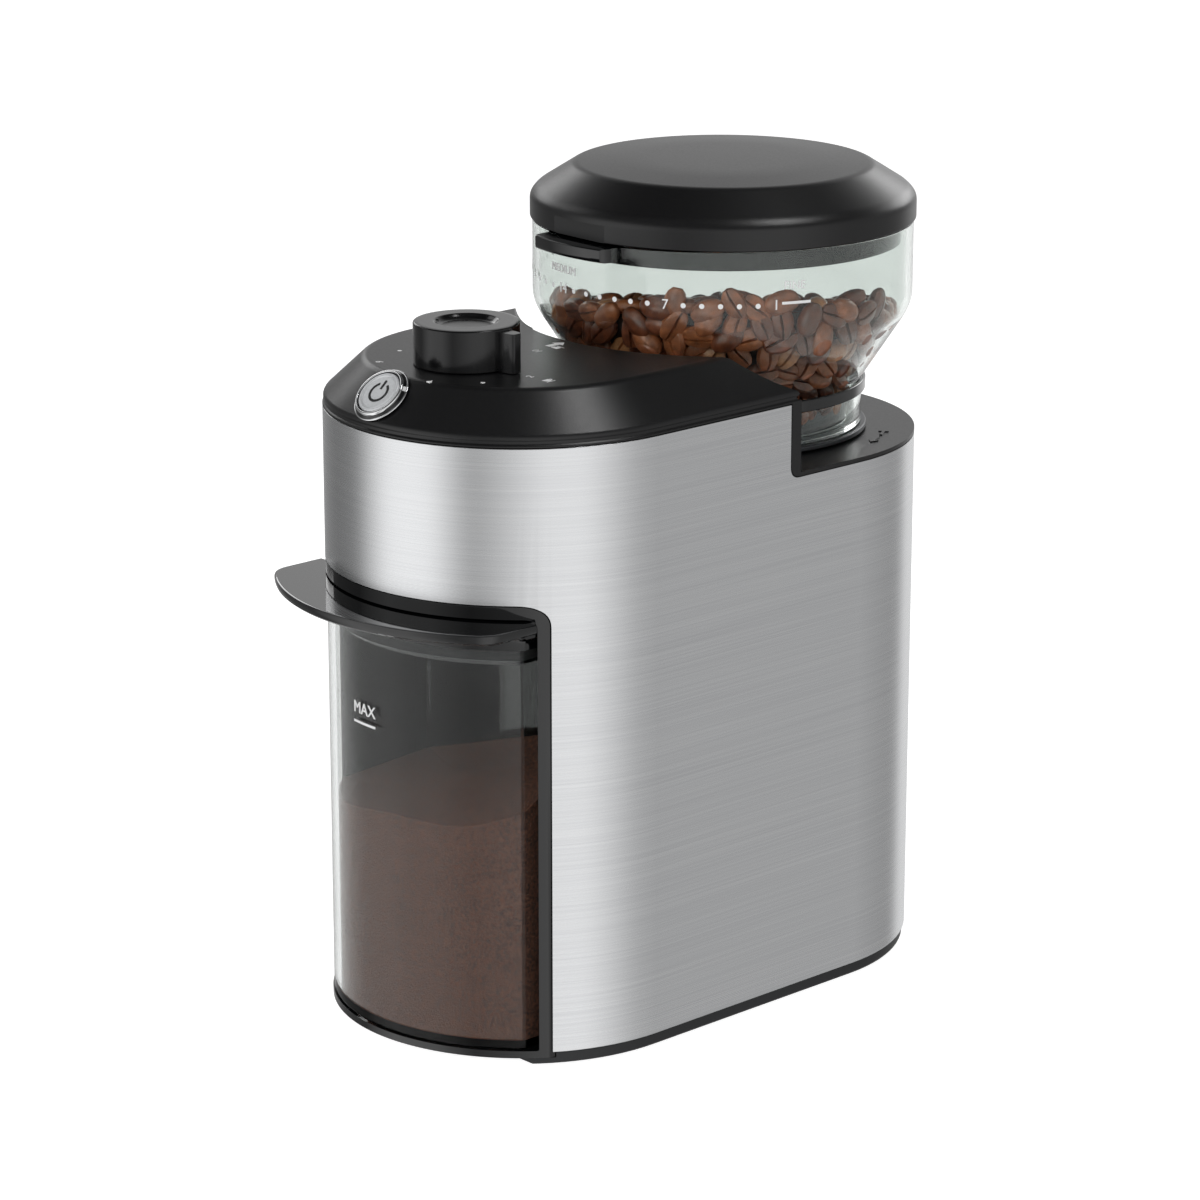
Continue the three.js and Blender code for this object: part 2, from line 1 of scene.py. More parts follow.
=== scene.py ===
"""Burr coffee grinder: an oval steel body, a clear hopper of beans and a pull-out grounds container.

Every piece is drawn in millimetres in the row frame, +Z up and the front towards -Y, and is scaled
to metres as its mesh is made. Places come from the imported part, and each class holds the finer
sizes of one sub-assembly.
"""

import logging
import math
import random
from collections.abc import Callable
from dataclasses import dataclass, field
from enum import Enum

import bmesh
import bpy
from mathutils import Matrix, Vector


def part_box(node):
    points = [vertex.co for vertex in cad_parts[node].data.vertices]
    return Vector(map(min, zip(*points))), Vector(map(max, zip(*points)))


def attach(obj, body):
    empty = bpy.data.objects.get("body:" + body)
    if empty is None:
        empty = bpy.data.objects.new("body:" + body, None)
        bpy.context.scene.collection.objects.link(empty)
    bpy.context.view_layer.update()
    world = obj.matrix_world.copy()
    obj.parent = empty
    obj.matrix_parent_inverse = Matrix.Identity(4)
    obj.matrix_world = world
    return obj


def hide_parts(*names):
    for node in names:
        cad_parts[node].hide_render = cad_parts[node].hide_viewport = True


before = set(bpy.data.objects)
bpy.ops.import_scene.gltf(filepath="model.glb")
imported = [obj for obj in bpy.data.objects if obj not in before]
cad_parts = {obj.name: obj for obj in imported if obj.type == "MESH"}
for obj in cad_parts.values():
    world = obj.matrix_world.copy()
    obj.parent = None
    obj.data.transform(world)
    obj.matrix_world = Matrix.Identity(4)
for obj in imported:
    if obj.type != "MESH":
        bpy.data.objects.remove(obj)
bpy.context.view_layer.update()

LOG = logging.getLogger("grinder")
MM = 0.001
SHARP = 32.0                             # edges that bend by more degrees than this stay sharp
MERGE = 1e-3                             # points closer than this are one point
FINE = 160                               # facets around the widest turned pieces
PRINT_SINK = 0.1                         # how far printing reaches into what it is printed on
Outline = list[tuple[float, float]]
Profile = list[tuple[float, ...]]        # corners, each followed by its radius if it has one


# ---------------------------------------------------------------- places taken from the part


@dataclass(frozen=True)
class Span:
    """The box of one CAD node, in millimetres."""

    lo: Vector
    hi: Vector

    @classmethod
    def of(cls, node: str) -> "Span":
        """Returns the box of the CAD node of that name."""
        lo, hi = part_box(node)
        return cls(lo / MM, hi / MM)

    @property
    def mid(self) -> Vector:
        """The middle of the box."""
        return (self.lo + self.hi) / 2


STEEL = Span.of("steel_shell")
COVER = Span.of("top_cover")
BOWL = Span.of("hopper_bowl")
KNOB = Span.of("dose_pot")
LID_PLATE = Span.of("container_lid")

BODY_R = STEEL.hi.x                      # radius of the body's two round ends
FRONT_Y = STEEL.lo.y + BODY_R            # centre of the front round end
REAR_Y = STEEL.hi.y - BODY_R             # centre of the rear round end
HOPPER_Y = BOWL.mid.y                    # axis of hopper, burrs and motor
STEEL_T = 0.9                            # thickness of the steel sheet
GAP = 0.3                                # clearance between pieces that fit together
WALL = 2.2                               # wall of the cover
STEP_Y = 20.9                            # where the steel steps down to the rear deck
REAR_STEEL_TOP = 178.1
REAR_DECK_Z = 179.7
DECK_Z = COVER.hi.z
SHOULDER_Z = 206.0                       # foot of the sloping shoulder
SHOULDER_IN = 13.3                       # how far the shoulder leans in on its way up to the deck
ARC_R = 68.4                             # round wall behind the deck, about the hopper axis
BAY_BACK_Y = FRONT_Y + 1.2               # back wall of the container's bay
CUP_BACK_Y = BAY_BACK_Y - 1.5            # back of the container and of its lid


# ---------------------------------------------------------------- finishes


class Grain(Enum):
    """How a surface was made, which decides its fine pattern."""

    POLISHED = "polished"
    MOULDED = "moulded"
    BRUSHED = "brushed around the body"
    TURNED = "brushed around the hopper axis"
    ROASTED = "roasted"
    GROUND = "ground"
    CAST = "cast"


def linear(code: str) -> tuple[float, float, float, float]:
    """Turns an sRGB hex colour into linear light.

    Args:
        code: Six hex digits.

    Returns:
        Red, green, blue and an alpha of 1.
    """
    parts = [int(code[i:i + 2], 16) / 255 for i in (0, 2, 4)]
    return (*[c / 12.92 if c <= 0.04045 else ((c + 0.055) / 1.055) ** 2.4 for c in parts], 1.0)


def add_node(tree: bpy.types.NodeTree, kind: str, settings: dict | None = None,
             links: dict | None = None) -> bpy.types.Node:
    """Adds a node with its settings and links.

    Args:
        tree: The tree to add to.
        kind: The node's type name.
        settings: Values by attribute, or by an input's name or number.
        links: Output sockets by the input's name or number.

    Returns:
        The new node.
    """
    node = tree.nodes.new(kind)
    for name, value in (settings or {}).items():
        if isinstance(name, str) and hasattr(node, name):
            setattr(node, name, value)
        else:
            node.inputs[name].default_value = value
    for name, source in (links or {}).items():
        tree.links.new(source, node.inputs[name])
    return node


def begun(name: str) -> tuple[bpy.types.Material, bpy.types.NodeTree, bpy.types.Node]:
    """Returns a new material of that name, its node tree and its main shader."""
    material = bpy.data.materials.new(name)
    material.use_nodes = True
    return material, material.node_tree, material.node_tree.nodes["Principled BSDF"]


@dataclass(frozen=True)
class Finish:
    """One real material and how its surface was made.

    The second colour is where the pattern takes the first one to.
    """

    name: str
    color: str
    second: str
    roughness: float
    grain: Grain
    metallic: float = 0.0
    ior: float = 1.5
    coat: float = 0.0
    bump: float = 0.0

    def make(self) -> bpy.types.Material:
        """Returns the Blender material, made once."""
        known = bpy.data.materials.get(self.name)
        if known:
            return known
        material, tree, shader = begun(self.name)
        shader.inputs["Metallic"].default_value = self.metallic
        if not self.metallic:
            shader.inputs["IOR"].default_value = self.ior
        shader.inputs["Coat Weight"].default_value = self.coat
        place = add_node(tree, "ShaderNodeTexCoord").outputs["Object"]
        scale, stretch, detail = self.pattern()
        mapped = add_node(tree, "ShaderNodeMapping", {"Scale": stretch}, {"Vector": place})
        noise = add_node(tree, "ShaderNodeTexNoise",
                         {"Scale": scale, "Detail": detail, "Roughness": 0.6},
                         {"Vector": mapped.outputs["Vector"]})
        ramp = add_node(tree, "ShaderNodeValToRGB", links={"Fac": noise.outputs["Fac"]})
        for stop, at, code in zip(ramp.color_ramp.elements, (0.3, 0.7), (self.second, self.color)):
            stop.position = at
            stop.color = linear(code)
        tree.links.new(ramp.outputs["Color"], shader.inputs["Base Color"])
        spread = add_node(tree, "ShaderNodeMapRange",
                          {"To Min": self.roughness * 0.85, "To Max": min(1.0, self.roughness * 1.15)},
                          {"Value": noise.outputs["Fac"]})
        tree.links.new(spread.outputs["Result"], shader.inputs["Roughness"])
        if self.bump:
            relief = add_node(tree, "ShaderNodeBump", {"Strength": self.bump, "Distance": 0.0002},
                              {"Height": noise.outputs["Fac"]})
            tree.links.new(relief.outputs["Normal"], shader.inputs["Normal"])
        return material

    def pattern(self) -> tuple[float, tuple[float, float, float], float]:
        """Returns the noise scale, its stretch by axis and its detail, for the way it was made."""
        per_metre = {
            Grain.POLISHED: (60, (1, 1, 1), 2),          # slow waviness about 17 mm across
            Grain.MOULDED: (1400, (1, 1, 1), 2),         # spark-eroded texture, 0.7 mm
            Grain.BRUSHED: (9, (1, 1, 260), 5),          # 110 mm scratches, 0.4 mm apart, drawn coarse
            Grain.TURNED: (9, (1, 1, 160), 4),
            Grain.ROASTED: (260, (1, 1, 1), 5),          # mottling 4 mm across
            Grain.GROUND: (1100, (1, 1, 1), 2),          # grit 0.9 mm
            Grain.CAST: (900, (1, 1, 1), 3),
        }
        return per_metre[self.grain]


# Stainless sheet, brushed along the body: long fine scratches that streak the light.
STAINLESS = Finish("stainless_brushed", "e9eaeb", "dadbdd", 0.27, Grain.BRUSHED, metallic=1.0,
                   bump=0.03)
# ABS from a spark-eroded mould: satin, with a broad soft highlight.
ABS_SATIN = Finish("abs_satin_black", "111112", "0d0d0e", 0.33, Grain.MOULDED, bump=0.06)
ABS_BASE = Finish("abs_base_black", "232426", "1d1e20", 0.5, Grain.MOULDED, bump=0.12)
# The same plastic, smoother where fingers turn it.
ABS_SEMI = Finish("abs_semi_gloss_black", "0d0d0e", "0a0a0b", 0.17, Grain.POLISHED)
# ABS from a polished mould: deep black with sharp reflections.
ABS_GLOSS = Finish("abs_gloss_black", "08090a", "060708", 0.07, Grain.POLISHED, coat=0.5)
# The inside of the bay, textured so that it shows no reflections behind the clear cup.
ABS_BAY = Finish("abs_bay_black", "060607", "040405", 0.6, Grain.MOULDED, ior=1.2)
# Rubber, moulded matt.
RUBBER = Finish("rubber_matt", "1d1e1f", "161718", 0.85, Grain.CAST, ior=1.52, bump=0.2)
# Painted satin silver cap, and the plated ring around it.
BUTTON_PAINT = Finish("silver_paint_satin", "cdcfd1", "c2c4c6", 0.3, Grain.MOULDED, metallic=0.4)
CHROME = Finish("chrome_plate", "f2f3f4", "e8e9ea", 0.07, Grain.POLISHED, metallic=1.0)
# Turned sleeve seen through the hopper's neck.
DRUM = Finish("collar_turned_dark", "5a5c5e", "34363a", 0.32, Grain.TURNED, metallic=0.8, bump=0.1)
NYLON_BLACK = Finish("nylon_glass_filled", "1e1f21", "17181a", 0.55, Grain.CAST, bump=0.15)
NYLON_WHITE = Finish("nylon_natural", "e6e1d3", "dcd6c6", 0.5, Grain.CAST, bump=0.1)
ZINC = Finish("zinc_plate", "b3b6b9", "9c9fa3", 0.35, Grain.CAST, metallic=1.0, bump=0.1)
LAMINATIONS = Finish("laminated_steel", "7d746c", "5c534c", 0.45, Grain.TURNED, metallic=0.9, bump=0.2)
BURR_STEEL = Finish("burr_steel_hardened", "8b8d90", "717376", 0.3, Grain.CAST, metallic=1.0, bump=0.1)
BRONZE = Finish("bronze_sintered", "a87a43", "8b6131", 0.45, Grain.CAST, metallic=1.0, bump=0.2)
FERRITE = Finish("ferrite", "3c3e41", "303235", 0.7, Grain.CAST, bump=0.2)
BOARD = Finish("circuit_board", "1f6238", "184f2c", 0.4, Grain.CAST, bump=0.05)
CAN_SLEEVE = Finish("capacitor_sleeve", "1c2238", "161b2e", 0.35, Grain.POLISHED)
# Roasted beans: red brown with a slight oily shine, and no two quite alike.
BEAN_PALE = Finish("coffee_bean_pale", "c98c5f", "87502f", 0.34, Grain.ROASTED, coat=0.25, bump=0.4)
BEAN = Finish("coffee_bean_roasted", "a7633f", "643520", 0.34, Grain.ROASTED, coat=0.25, bump=0.4)
BEAN_DEEP = Finish("coffee_bean_deep", "7a4129", "3e1d12", 0.32, Grain.ROASTED, coat=0.3, bump=0.4)
# Painted shade: near black for the core that stands for the beans out of sight, which lie in the heap's
# shade.
BEAN_SHADE_CORE = Finish("coffee_bean_core_painted_shade", "1c0f09", "120904", 0.8, Grain.ROASTED, bump=0.4)
GROUNDS = Finish("coffee_ground", "5b3828", "1f110c", 0.95, Grain.GROUND, bump=0.8)
PRINT_WHITE = Finish("pad_print_white", "f4f4f4", "ececec", 0.5, Grain.POLISHED)
PRINT_BLACK = Finish("pad_print_black", "0c0c0d", "080809", 0.4, Grain.POLISHED)


@dataclass(frozen=True)
class ClearPlastic:
    """Styrene moulded clear: a faint grey-green tint and sharp reflections."""

    name: str
    tint: str
    ior: float = 1.45

    def make(self) -> bpy.types.Material:
        """Returns the Blender material, made once."""
        known = bpy.data.materials.get(self.name)
        if known:
            return known
        material, tree, shader = begun(self.name)
        place = add_node(tree, "ShaderNodeTexCoord").outputs["Object"]
        noise = add_node(tree, "ShaderNodeTexNoise", {"Scale": 60.0, "Detail": 2.0}, {"Vector": place})
        spread = add_node(tree, "ShaderNodeMapRange", {"To Min": 0.015, "To Max": 0.035},
                          {"Value": noise.outputs["Fac"]})
        tree.links.new(spread.outputs["Result"], shader.inputs["Roughness"])
        shader.inputs["Base Color"].default_value = linear(self.tint)
        shader.inputs["IOR"].default_value = self.ior
        shader.inputs["Transmission Weight"].default_value = 1.0
        lamps = add_node(tree, "ShaderNodeBsdfTransparent", {"Color": linear(self.tint)})
        path = add_node(tree, "ShaderNodeLightPath")
        mixed = add_node(tree, "ShaderNodeMixShader", links={
            "Fac": path.outputs["Is Shadow Ray"], 1: shader.outputs["BSDF"], 2: lamps.outputs["BSDF"]})
        tree.links.new(mixed.outputs["Shader"], tree.nodes["Material Output"].inputs["Surface"])
        return material


HOPPER_CLEAR = ClearPlastic("san_clear_hopper", "dde2df", 1.4)
CUP_CLEAR = ClearPlastic("san_clear_container", "eceeed", 1.32)


# ---------------------------------------------------------------- mesh making


def eased(points: Profile, steps: int = 5) -> Outline:
    """Rounds the corners of a line drawn as (a, b) or (a, b, radius).

    Args:
        points: The corners, each with its own radius if it has one.
        steps: Facets in each rounded corner.

    Returns:
        The points of the line with its corners rounded.
    """
    out: Outline = []
    count = len(points)
    for i, point in enumerate(points):
        here = Vector(point[:2])
        radius = point[2] if len(point) > 2 else 0.0
        if radius == 0.0:
            out.append((here.x, here.y))
            continue
        before = Vector(points[(i - 1) % count][:2]) - here
        after = Vector(points[(i + 1) % count][:2]) - here
        reach = min(radius, 0.49 * before.length, 0.49 * after.length)
        start = here + before.normalized() * reach
        end = here + after.normalized() * reach
        for k in range(steps + 1):
            t = k / steps
            bend = start * (1 - t) ** 2 + here * (2 * t * (1 - t)) + end * t * t
            out.append((bend.x, bend.y))
    return out


def stand(name: str, data: bpy.types.ID) -> bpy.types.Object:
    """Returns a new object of that name, linked to the scene."""
    made = bpy.data.objects.new(name, data)
    bpy.context.scene.collection.objects.link(made)
    return made


def mesh_object(name: str, points: list[Vector], faces: list[tuple[int, ...]]) -> bpy.types.Object:
    """Makes an object from points in millimetres, with doubles merged and faces pointing out.

    Args:
        name: The piece's name.
        points: Corners in millimetres.
        faces: Corner numbers of each face.

    Returns:
        The object, at the origin.
    """
    mesh = bpy.data.meshes.new(name)
    mesh.from_pydata([Vector(p) * MM for p in points], [], faces)
    work = bmesh.new()
    work.from_mesh(mesh)
    bmesh.ops.remove_doubles(work, verts=work.verts, dist=MERGE * MM)
    bmesh.ops.dissolve_degenerate(work, edges=work.edges, dist=MERGE * MM * 0.1)
    bmesh.ops.recalc_face_normals(work, faces=work.faces)
    work.to_mesh(mesh)
    work.free()
    return stand(name, mesh)


def loft(name: str, rings: list[list[Vector]], looped: bool = False) -> bpy.types.Object:
    """Joins closed rings of points by faces, capped at both ends unless it loops.

    Args:
        name: The piece's name.
        rings: Rings with the same number of points.
        looped: True where the last ring joins the first.

    Returns:
        The object.
    """
    count = len(rings[0])
    faces: list[tuple[int, ...]] = []
    for i in range(len(rings) if looped else len(rings) - 1):
        a, b = i * count, (i + 1) % len(rings) * count
        faces += [(a + k, a + (k + 1) % count, b + (k + 1) % count, b + k) for k in range(count)]
    if not looped:
        faces.append(tuple(range(count)))
        faces.append(tuple(range((len(rings) - 1) * count, len(rings) * count)))
    return mesh_object(name, [p for ring in rings for p in ring], faces)


def turned(name: str, profile: Outline, y: float = 0.0, x: float = 0.0,
           steps: int = 96) -> bpy.types.Object:
    """Turns an outline of (radius, height) about a vertical axis.

    Args:
        name: The piece's name.
        profile: The outline, which starts and ends on the axis or closes on itself.
        y: The axis's y.
        x: The axis's x.
        steps: Facets around.

    Returns:
        The object.
    """
    points, faces, count = [], [], len(profile)
    for k in range(steps):
        turn = 2 * math.pi * k / steps
        points += [Vector((x + r * math.cos(turn), y + r * math.sin(turn), z)) for r, z in profile]
    closed = profile[0][0] > 0
    for k in range(steps):
        a, b = k * count, (k + 1) % steps * count
        for i in range(count if closed else count - 1):
            j = (i + 1) % count
            faces.append((a + i, b + i, b + j, a + j))
    return mesh_object(name, points, faces)


def rod(name: str, r: float, z0: float, z1: float, y: float = 0.0, x: float = 0.0,
        steps: int = 96) -> bpy.types.Object:
    """Makes an upright cylinder, most often for cutting.

    Args:
        name: The piece's name.
        r: Its radius.
        z0: Height of its lower end.
        z1: Height of its upper end.
        y: The axis's y.
        x: The axis's x.
        steps: Facets around.

    Returns:
        The object.
    """
    return turned(name, [(0, z0), (r, z0), (r, z1), (0, z1)], y, x, steps)


def stadium(r: float, z: float) -> list[Vector]:
    """Returns a ring of points around the body's oval plan.

    Args:
        r: Distance from the line between the centres of the two round ends.
        z: Height of the ring.

    Returns:
        The points, rear end first.
    """
    steps = 48
    turns = [math.pi * k / steps for k in range(steps + 1)]
    return [Vector((r * math.cos(start + t), y + r * math.sin(start + t), z))
            for start, y in ((0.0, REAR_Y), (math.pi, FRONT_Y)) for t in turns]


def oval(name: str, profile: Outline, looped: bool = False) -> bpy.types.Object:
    """Carries an outline of (radius, height) around the body's oval plan."""
    return loft(name, [stadium(r, z) for r, z in profile], looped)


def stacked(name: str, plan: Callable[[float], Outline], levels: Outline) -> bpy.types.Object:
    """Joins one plan at several insets, each at its own height.

    Args:
        name: The piece's name.
        plan: Gives the plan for an inset.
        levels: Inset and height of each ring.

    Returns:
        The object.
    """
    return loft(name, [[Vector((x, y, z)) for x, y in plan(inset)] for inset, z in levels])


def prism(name: str, outline: Outline, lo: float, hi: float, axis: str = "z") -> bpy.types.Object:
    """Stands a flat outline up between two distances along an axis.

    Args:
        name: The piece's name.
        outline: Points across the axis: (x, y) for z, (x, z) for y and (y, z) for x.
        lo: Where it starts along the axis.
        hi: Where it ends.
        axis: "x", "y" or "z".

    Returns:
        The object.
    """
    place = {
        "z": lambda a, b, c: Vector((a, b, c)),
        "y": lambda a, b, c: Vector((a, c, b)),
        "x": lambda a, b, c: Vector((c, a, b)),
    }[axis]
    return loft(name, [[place(a, b, c) for a, b in outline] for c in (lo, hi)])


def block(name: str, x: tuple[float, float], y: tuple[float, float],
          z: tuple[float, float]) -> bpy.types.Object:
    """Makes a box from its reach along each axis, for cutting."""
    return prism(name, [(x[0], y[0]), (x[1], y[0]), (x[1], y[1]), (x[0], y[1])], *z)


def shift(made: bpy.types.Object, at: Vector | tuple[float, float, float], turn: float,
          axis: str = "Z") -> bpy.types.Object:
    """Turns a piece's mesh about an axis through the origin, and then moves it.

    Args:
        made: The piece.
        at: Where its origin goes, in metres.
        turn: Angle in radians.
        axis: "X", "Y" or "Z".

    Returns:
        The piece.
    """
    made.data.transform(Matrix.Translation(at) @ Matrix.Rotation(turn, 4, axis))
    return made


def settle(made: bpy.types.Object) -> None:
    """Makes a piece's modifiers part of its mesh."""
    bpy.context.view_layer.update()
    graph = bpy.context.evaluated_depsgraph_get()
    mesh = bpy.data.meshes.new_from_object(made.evaluated_get(graph))
    old = made.data
    made.modifiers.clear()
    made.data = mesh
    bpy.data.meshes.remove(old)


def combine(target: bpy.types.Object, other: bpy.types.Object,
            operation: str = "DIFFERENCE") -> bpy.types.Object:
    """Cuts, joins or intersects a piece with another, which is used up.

    Args:
        target: The piece that stays.
        other: The piece that is used up.
        operation: "DIFFERENCE", "UNION" or "INTERSECT".

    Returns:
        The piece that stays.
    """
    modifier = target.modifiers.new("combine", "BOOLEAN")
    modifier.object = other
    modifier.operation = operation
    modifier.solver = "EXACT"
    settle(target)
    mesh = other.data
    bpy.data.objects.remove(other)
    bpy.data.meshes.remove(mesh)
    return target


def soften(made: bpy.types.Object, width: float, angle: float = 50.0) -> bpy.types.Object:
    """Eases a piece's sharp edges with a two-step bevel.

    Args:
        made: The piece.
        width: Width of the bevel in millimetres.
        angle: Edges that bend by more degrees than this are eased.

    Returns:
        The piece.
    """
    modifier = made.modifiers.new("ease", "BEVEL")
    modifier.width = width * MM
    modifier.segments = 2
    modifier.limit_method = "ANGLE"
    modifier.angle_limit = math.radians(angle)
    modifier.use_clamp_overlap = True
    settle(made)
    return made


def shade(made: bpy.types.Object) -> None:
    """Shades a piece smooth, apart from its sharp edges.

    Large faces weigh most, so a flat side stays flat right up to its rounded edges.
    """
    work = bmesh.new()
    work.from_mesh(made.data)
    for face in work.faces:
        face.smooth = True
    for edge in work.edges:
        bend = edge.calc_face_angle(None) if len(edge.link_faces) == 2 else None
        edge.smooth = bend is None or bend < math.radians(SHARP)
    work.to_mesh(made.data)
    work.free()
    even = made.modifiers.new("even", "WEIGHTED_NORMAL")
    even.keep_sharp = True
    settle(made)


def join(name: str, parts: list[bpy.types.Object]) -> bpy.types.Object:
    """Puts several objects into one mesh, keeping their materials.

    Args:
        name: The joined piece's name.
        parts: The objects, which are used up.

    Returns:
        The joined piece.
    """
    work = bmesh.new()
    materials: list[bpy.types.Material] = []
    for part in parts:
        slots = [slot.material for slot in part.material_slots]
        for material in slots:
            if material not in materials:
                materials.append(material)
        start = len(work.faces)
        work.from_mesh(part.data)
        work.faces.ensure_lookup_table()
        for face in work.faces[start:]:
            face.material_index = materials.index(slots[face.material_index]) if slots else 0
        bpy.data.objects.remove(part)
    mesh = bpy.data.meshes.new(name)
    work.to_mesh(mesh)
    work.free()
    for material in materials:
        mesh.materials.append(material)
    return stand(name, mesh)


def paint(made: bpy.types.Object, finish: Finish | ClearPlastic) -> bpy.types.Object:
    """Gives a piece one finish all over."""
    made.data.materials.clear()
    made.data.materials.append(finish.make())
    return made


def deliver(made: bpy.types.Object, body: str,
            replaces: tuple[str, ...] = ()) -> None:
    """Finishes a piece: its shading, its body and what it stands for.

    Args:
        made: The piece.
        body: The CAD body that it moves with.
        replaces: CAD nodes that it stands for.
    """
    shade(made)
    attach(made, body)
    if replaces:
        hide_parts(*replaces)
    LOG.info("%s: %d faces on %s", made.name, len(made.data.polygons), body)


# ---------------------------------------------------------------- housing


@dataclass
class Housing:
    """The steel sleeve, the cover over it, the front frame, the base and its feet."""

    rolled: float = 0.45                 # rounding on the sheet's edges
    mouth_half: float = 52.3
    mouth_top: float = 152.7
    shelf: tuple[float, float] = (3.8, 6.2)
    frame_t: float = 2.3
    bay_top: float = 148.3
    corner: float = 4.0                  # inner corners of the step
    cord_hole: float = 6.5               # radius of the hole for the cord's gland
    seat_r: float = 8.9                  # radius of the hole that the button stands in

    def step(self, behind: float, top: float) -> bpy.types.Object:
        """Returns the cutter for the step, drawn in side view with eased corners.

        Args:
            behind: How far behind the steel's own step it starts.
            top: Height of the step's tread.

        Returns:
            The cutter.
        """
        r = self.corner
        y0 = STEP_Y + behind
        outline = eased([(y0, top, r), (200, top), (200, 320), (y0, 320)], 10)
        return prism("step", outline, -90, 90, "x")

    def mouth(self, half: float, top: float, radius: float) -> bpy.types.Object:
        """Returns the cutter for the container's opening.

        Args:
            half: Half its width.
            top: Height of its upper edge.
            radius: Rounding of its upper corners.

        Returns:
            The cutter.
        """
        outline = eased([(-half, -20), (half, -20), (half, top, radius), (-half, top, radius)], 10)
        return prism("mouth", outline, -130, FRONT_Y, "y")

    def sleeve(self) -> bpy.types.Object:
        """Returns the brushed steel sleeve with its step and mouth."""
        lo, hi, e = STEEL.lo.z, STEEL.hi.z, self.rolled
        wall = eased([(BODY_R, lo, e), (BODY_R, hi, e), (BODY_R - STEEL_T, hi, e),
                      (BODY_R - STEEL_T, lo, e)], 4)
        made = oval("sleeve", wall, looped=True)
        combine(made, self.step(0, REAR_STEEL_TOP))
        combine(made, self.mouth(self.mouth_half, self.mouth_top, 7))
        hole = rod("hole", self.cord_hole, -20, 20, steps=40)
        combine(made, shift(hole, (0, STEEL.hi.y * MM, Span.of("cord_gland").mid.z * MM), math.pi / 2, "X"))
        soften(made, 0.28, 55)
        return paint(made, STAINLESS)

    def cover(self) -> bpy.types.Object:
        """Returns the black cover: deck, sloping shoulder, round rear wall and rear deck."""
        lip = 203.6                      # light line half way up the rim
        inner = BODY_R - STEEL_T - GAP
        rim = [(BODY_R, 172), (BODY_R, lip - 0.5, 0.3), (BODY_R - 0.7, lip + 0.1, 0.2),
               (BODY_R - 0.7, lip + 0.9, 0.2), (BODY_R - 0.2, SHOULDER_Z - 0.7, 0.5),
               (BODY_R - 0.6, SHOULDER_Z + 0.3, 0.5), (BODY_R - SHOULDER_IN, DECK_Z, 1.6)]
        made = oval("cover", eased([*rim, (BODY_R - SHOULDER_IN - 8, DECK_Z)], 5))
        combine(made, rod("arc", ARC_R, REAR_DECK_Z, 300, HOPPER_Y, steps=FINE))
        outside = oval("outside", [(inner, 150), (BODY_R + 6, 150), (BODY_R + 6, STEEL.hi.z + GAP),
                                   (inner, STEEL.hi.z + GAP)], looped=True)
        combine(outside, self.step(GAP, REAR_STEEL_TOP + GAP))
        combine(made, outside)
        hollow = oval("hollow", [(inner - WALL, 150), (inner - WALL, SHOULDER_Z - 1),
                                 (inner - WALL - SHOULDER_IN + 2, DECK_Z - WALL)])
        combine(hollow, rod("keep", ARC_R + WALL, 140, 300, HOPPER_Y, steps=FINE))
        combine(made, hollow)
        combine(made, oval("under", [(inner - WALL, 150), (inner - WALL, REAR_DECK_Z - WALL)]))
        flange_hole = Span.of("grind_ring").hi.x - 7 + 0.6
        combine(made, rod("bore", flange_hole, 150, 200, HOPPER_Y))
        combine(made, rod("stem", 3.4, 200, 240, KNOB.mid.y, steps=32))
        combine(made, PowerButton().on_shoulder(rod("seat", self.seat_r, -20, 20, steps=64)))
        soften(made, 0.5, 40)
        return paint(made, ABS_SATIN)

    def front_frame(self) -> bpy.types.Object:
        """Returns the gloss black frame, ceiling, back and shelf of the container's bay."""
        half = self.mouth_half - GAP
        top = self.mouth_top - GAP
        back = BAY_BACK_Y + 2.8
        made = self.mouth(half, top, 6.7)
        made.name = "front_frame_gloss"
        combine(made, block("foot", (-90, 90), (-200, 0), (-60, self.shelf[0])))
        behind = block("behind", (-half, half), (FRONT_Y - 0.1, back), (self.shelf[0], top))
        combine(made, rod("face", BODY_R - 0.1, 0, 200, FRONT_Y, steps=192), "INTERSECT")
        combine(made, behind, "UNION")
        bay_half = half - self.frame_t
        bay = eased([(-bay_half, self.shelf[1], 0.6), (bay_half, self.shelf[1], 0.6),
                     (bay_half, self.bay_top, 3), (-bay_half, self.bay_top, 3)], 6)
        combine(made, prism("bay", bay, -140, BAY_BACK_Y, "y"))
        inlet = Span.of("grounds_chute")
        combine(made, block("drop", (-13, 13), (inlet.lo.y - 2, inlet.lo.y + 11), (140, 160)))
        soften(made, 0.35)
        paint(made, ABS_GLOSS)
        made.data.materials.append(ABS_BAY.make())
        for face in made.data.polygons:
            if face.center.y > (BAY_BACK_Y - 0.1) * MM:
                face.material_index = 1
        return made

    def base(self) -> bpy.types.Object:
        """Returns the base band with its rounded lower edge and the recesses for feet and screws."""
        r, top = BODY_R - 0.8, STEEL.lo.z - GAP
        z0 = Span.of("base_tray").lo.z
        made = oval("base_band", eased([(r - 3, z0), (r, z0, 2.0), (r, top, 0.3), (r - 6, top)], 5))
        combine(made, block("front", (-90, 90), (-200, FRONT_Y - 39), (-20, 40)))
        room = block("room", (-self.mouth_half, self.mouth_half), (-200, BAY_BACK_Y + 3.1),
                     (self.shelf[0] - GAP, 40))
        combine(made, room)
        for number in range(1, 5):
            screw = Span.of(f"base_screw_{number}").mid
            foot = Span.of(f"foot_{number}").mid
            for at, radius, up in ((foot, 2.8, 12), (screw, 1.9, 12), (screw, 3.4, 2.6)):
                combine(made, rod("hole", radius, -3, up, at.y, at.x, 32))
        soften(made, 0.3)
        return paint(made, ABS_BASE)

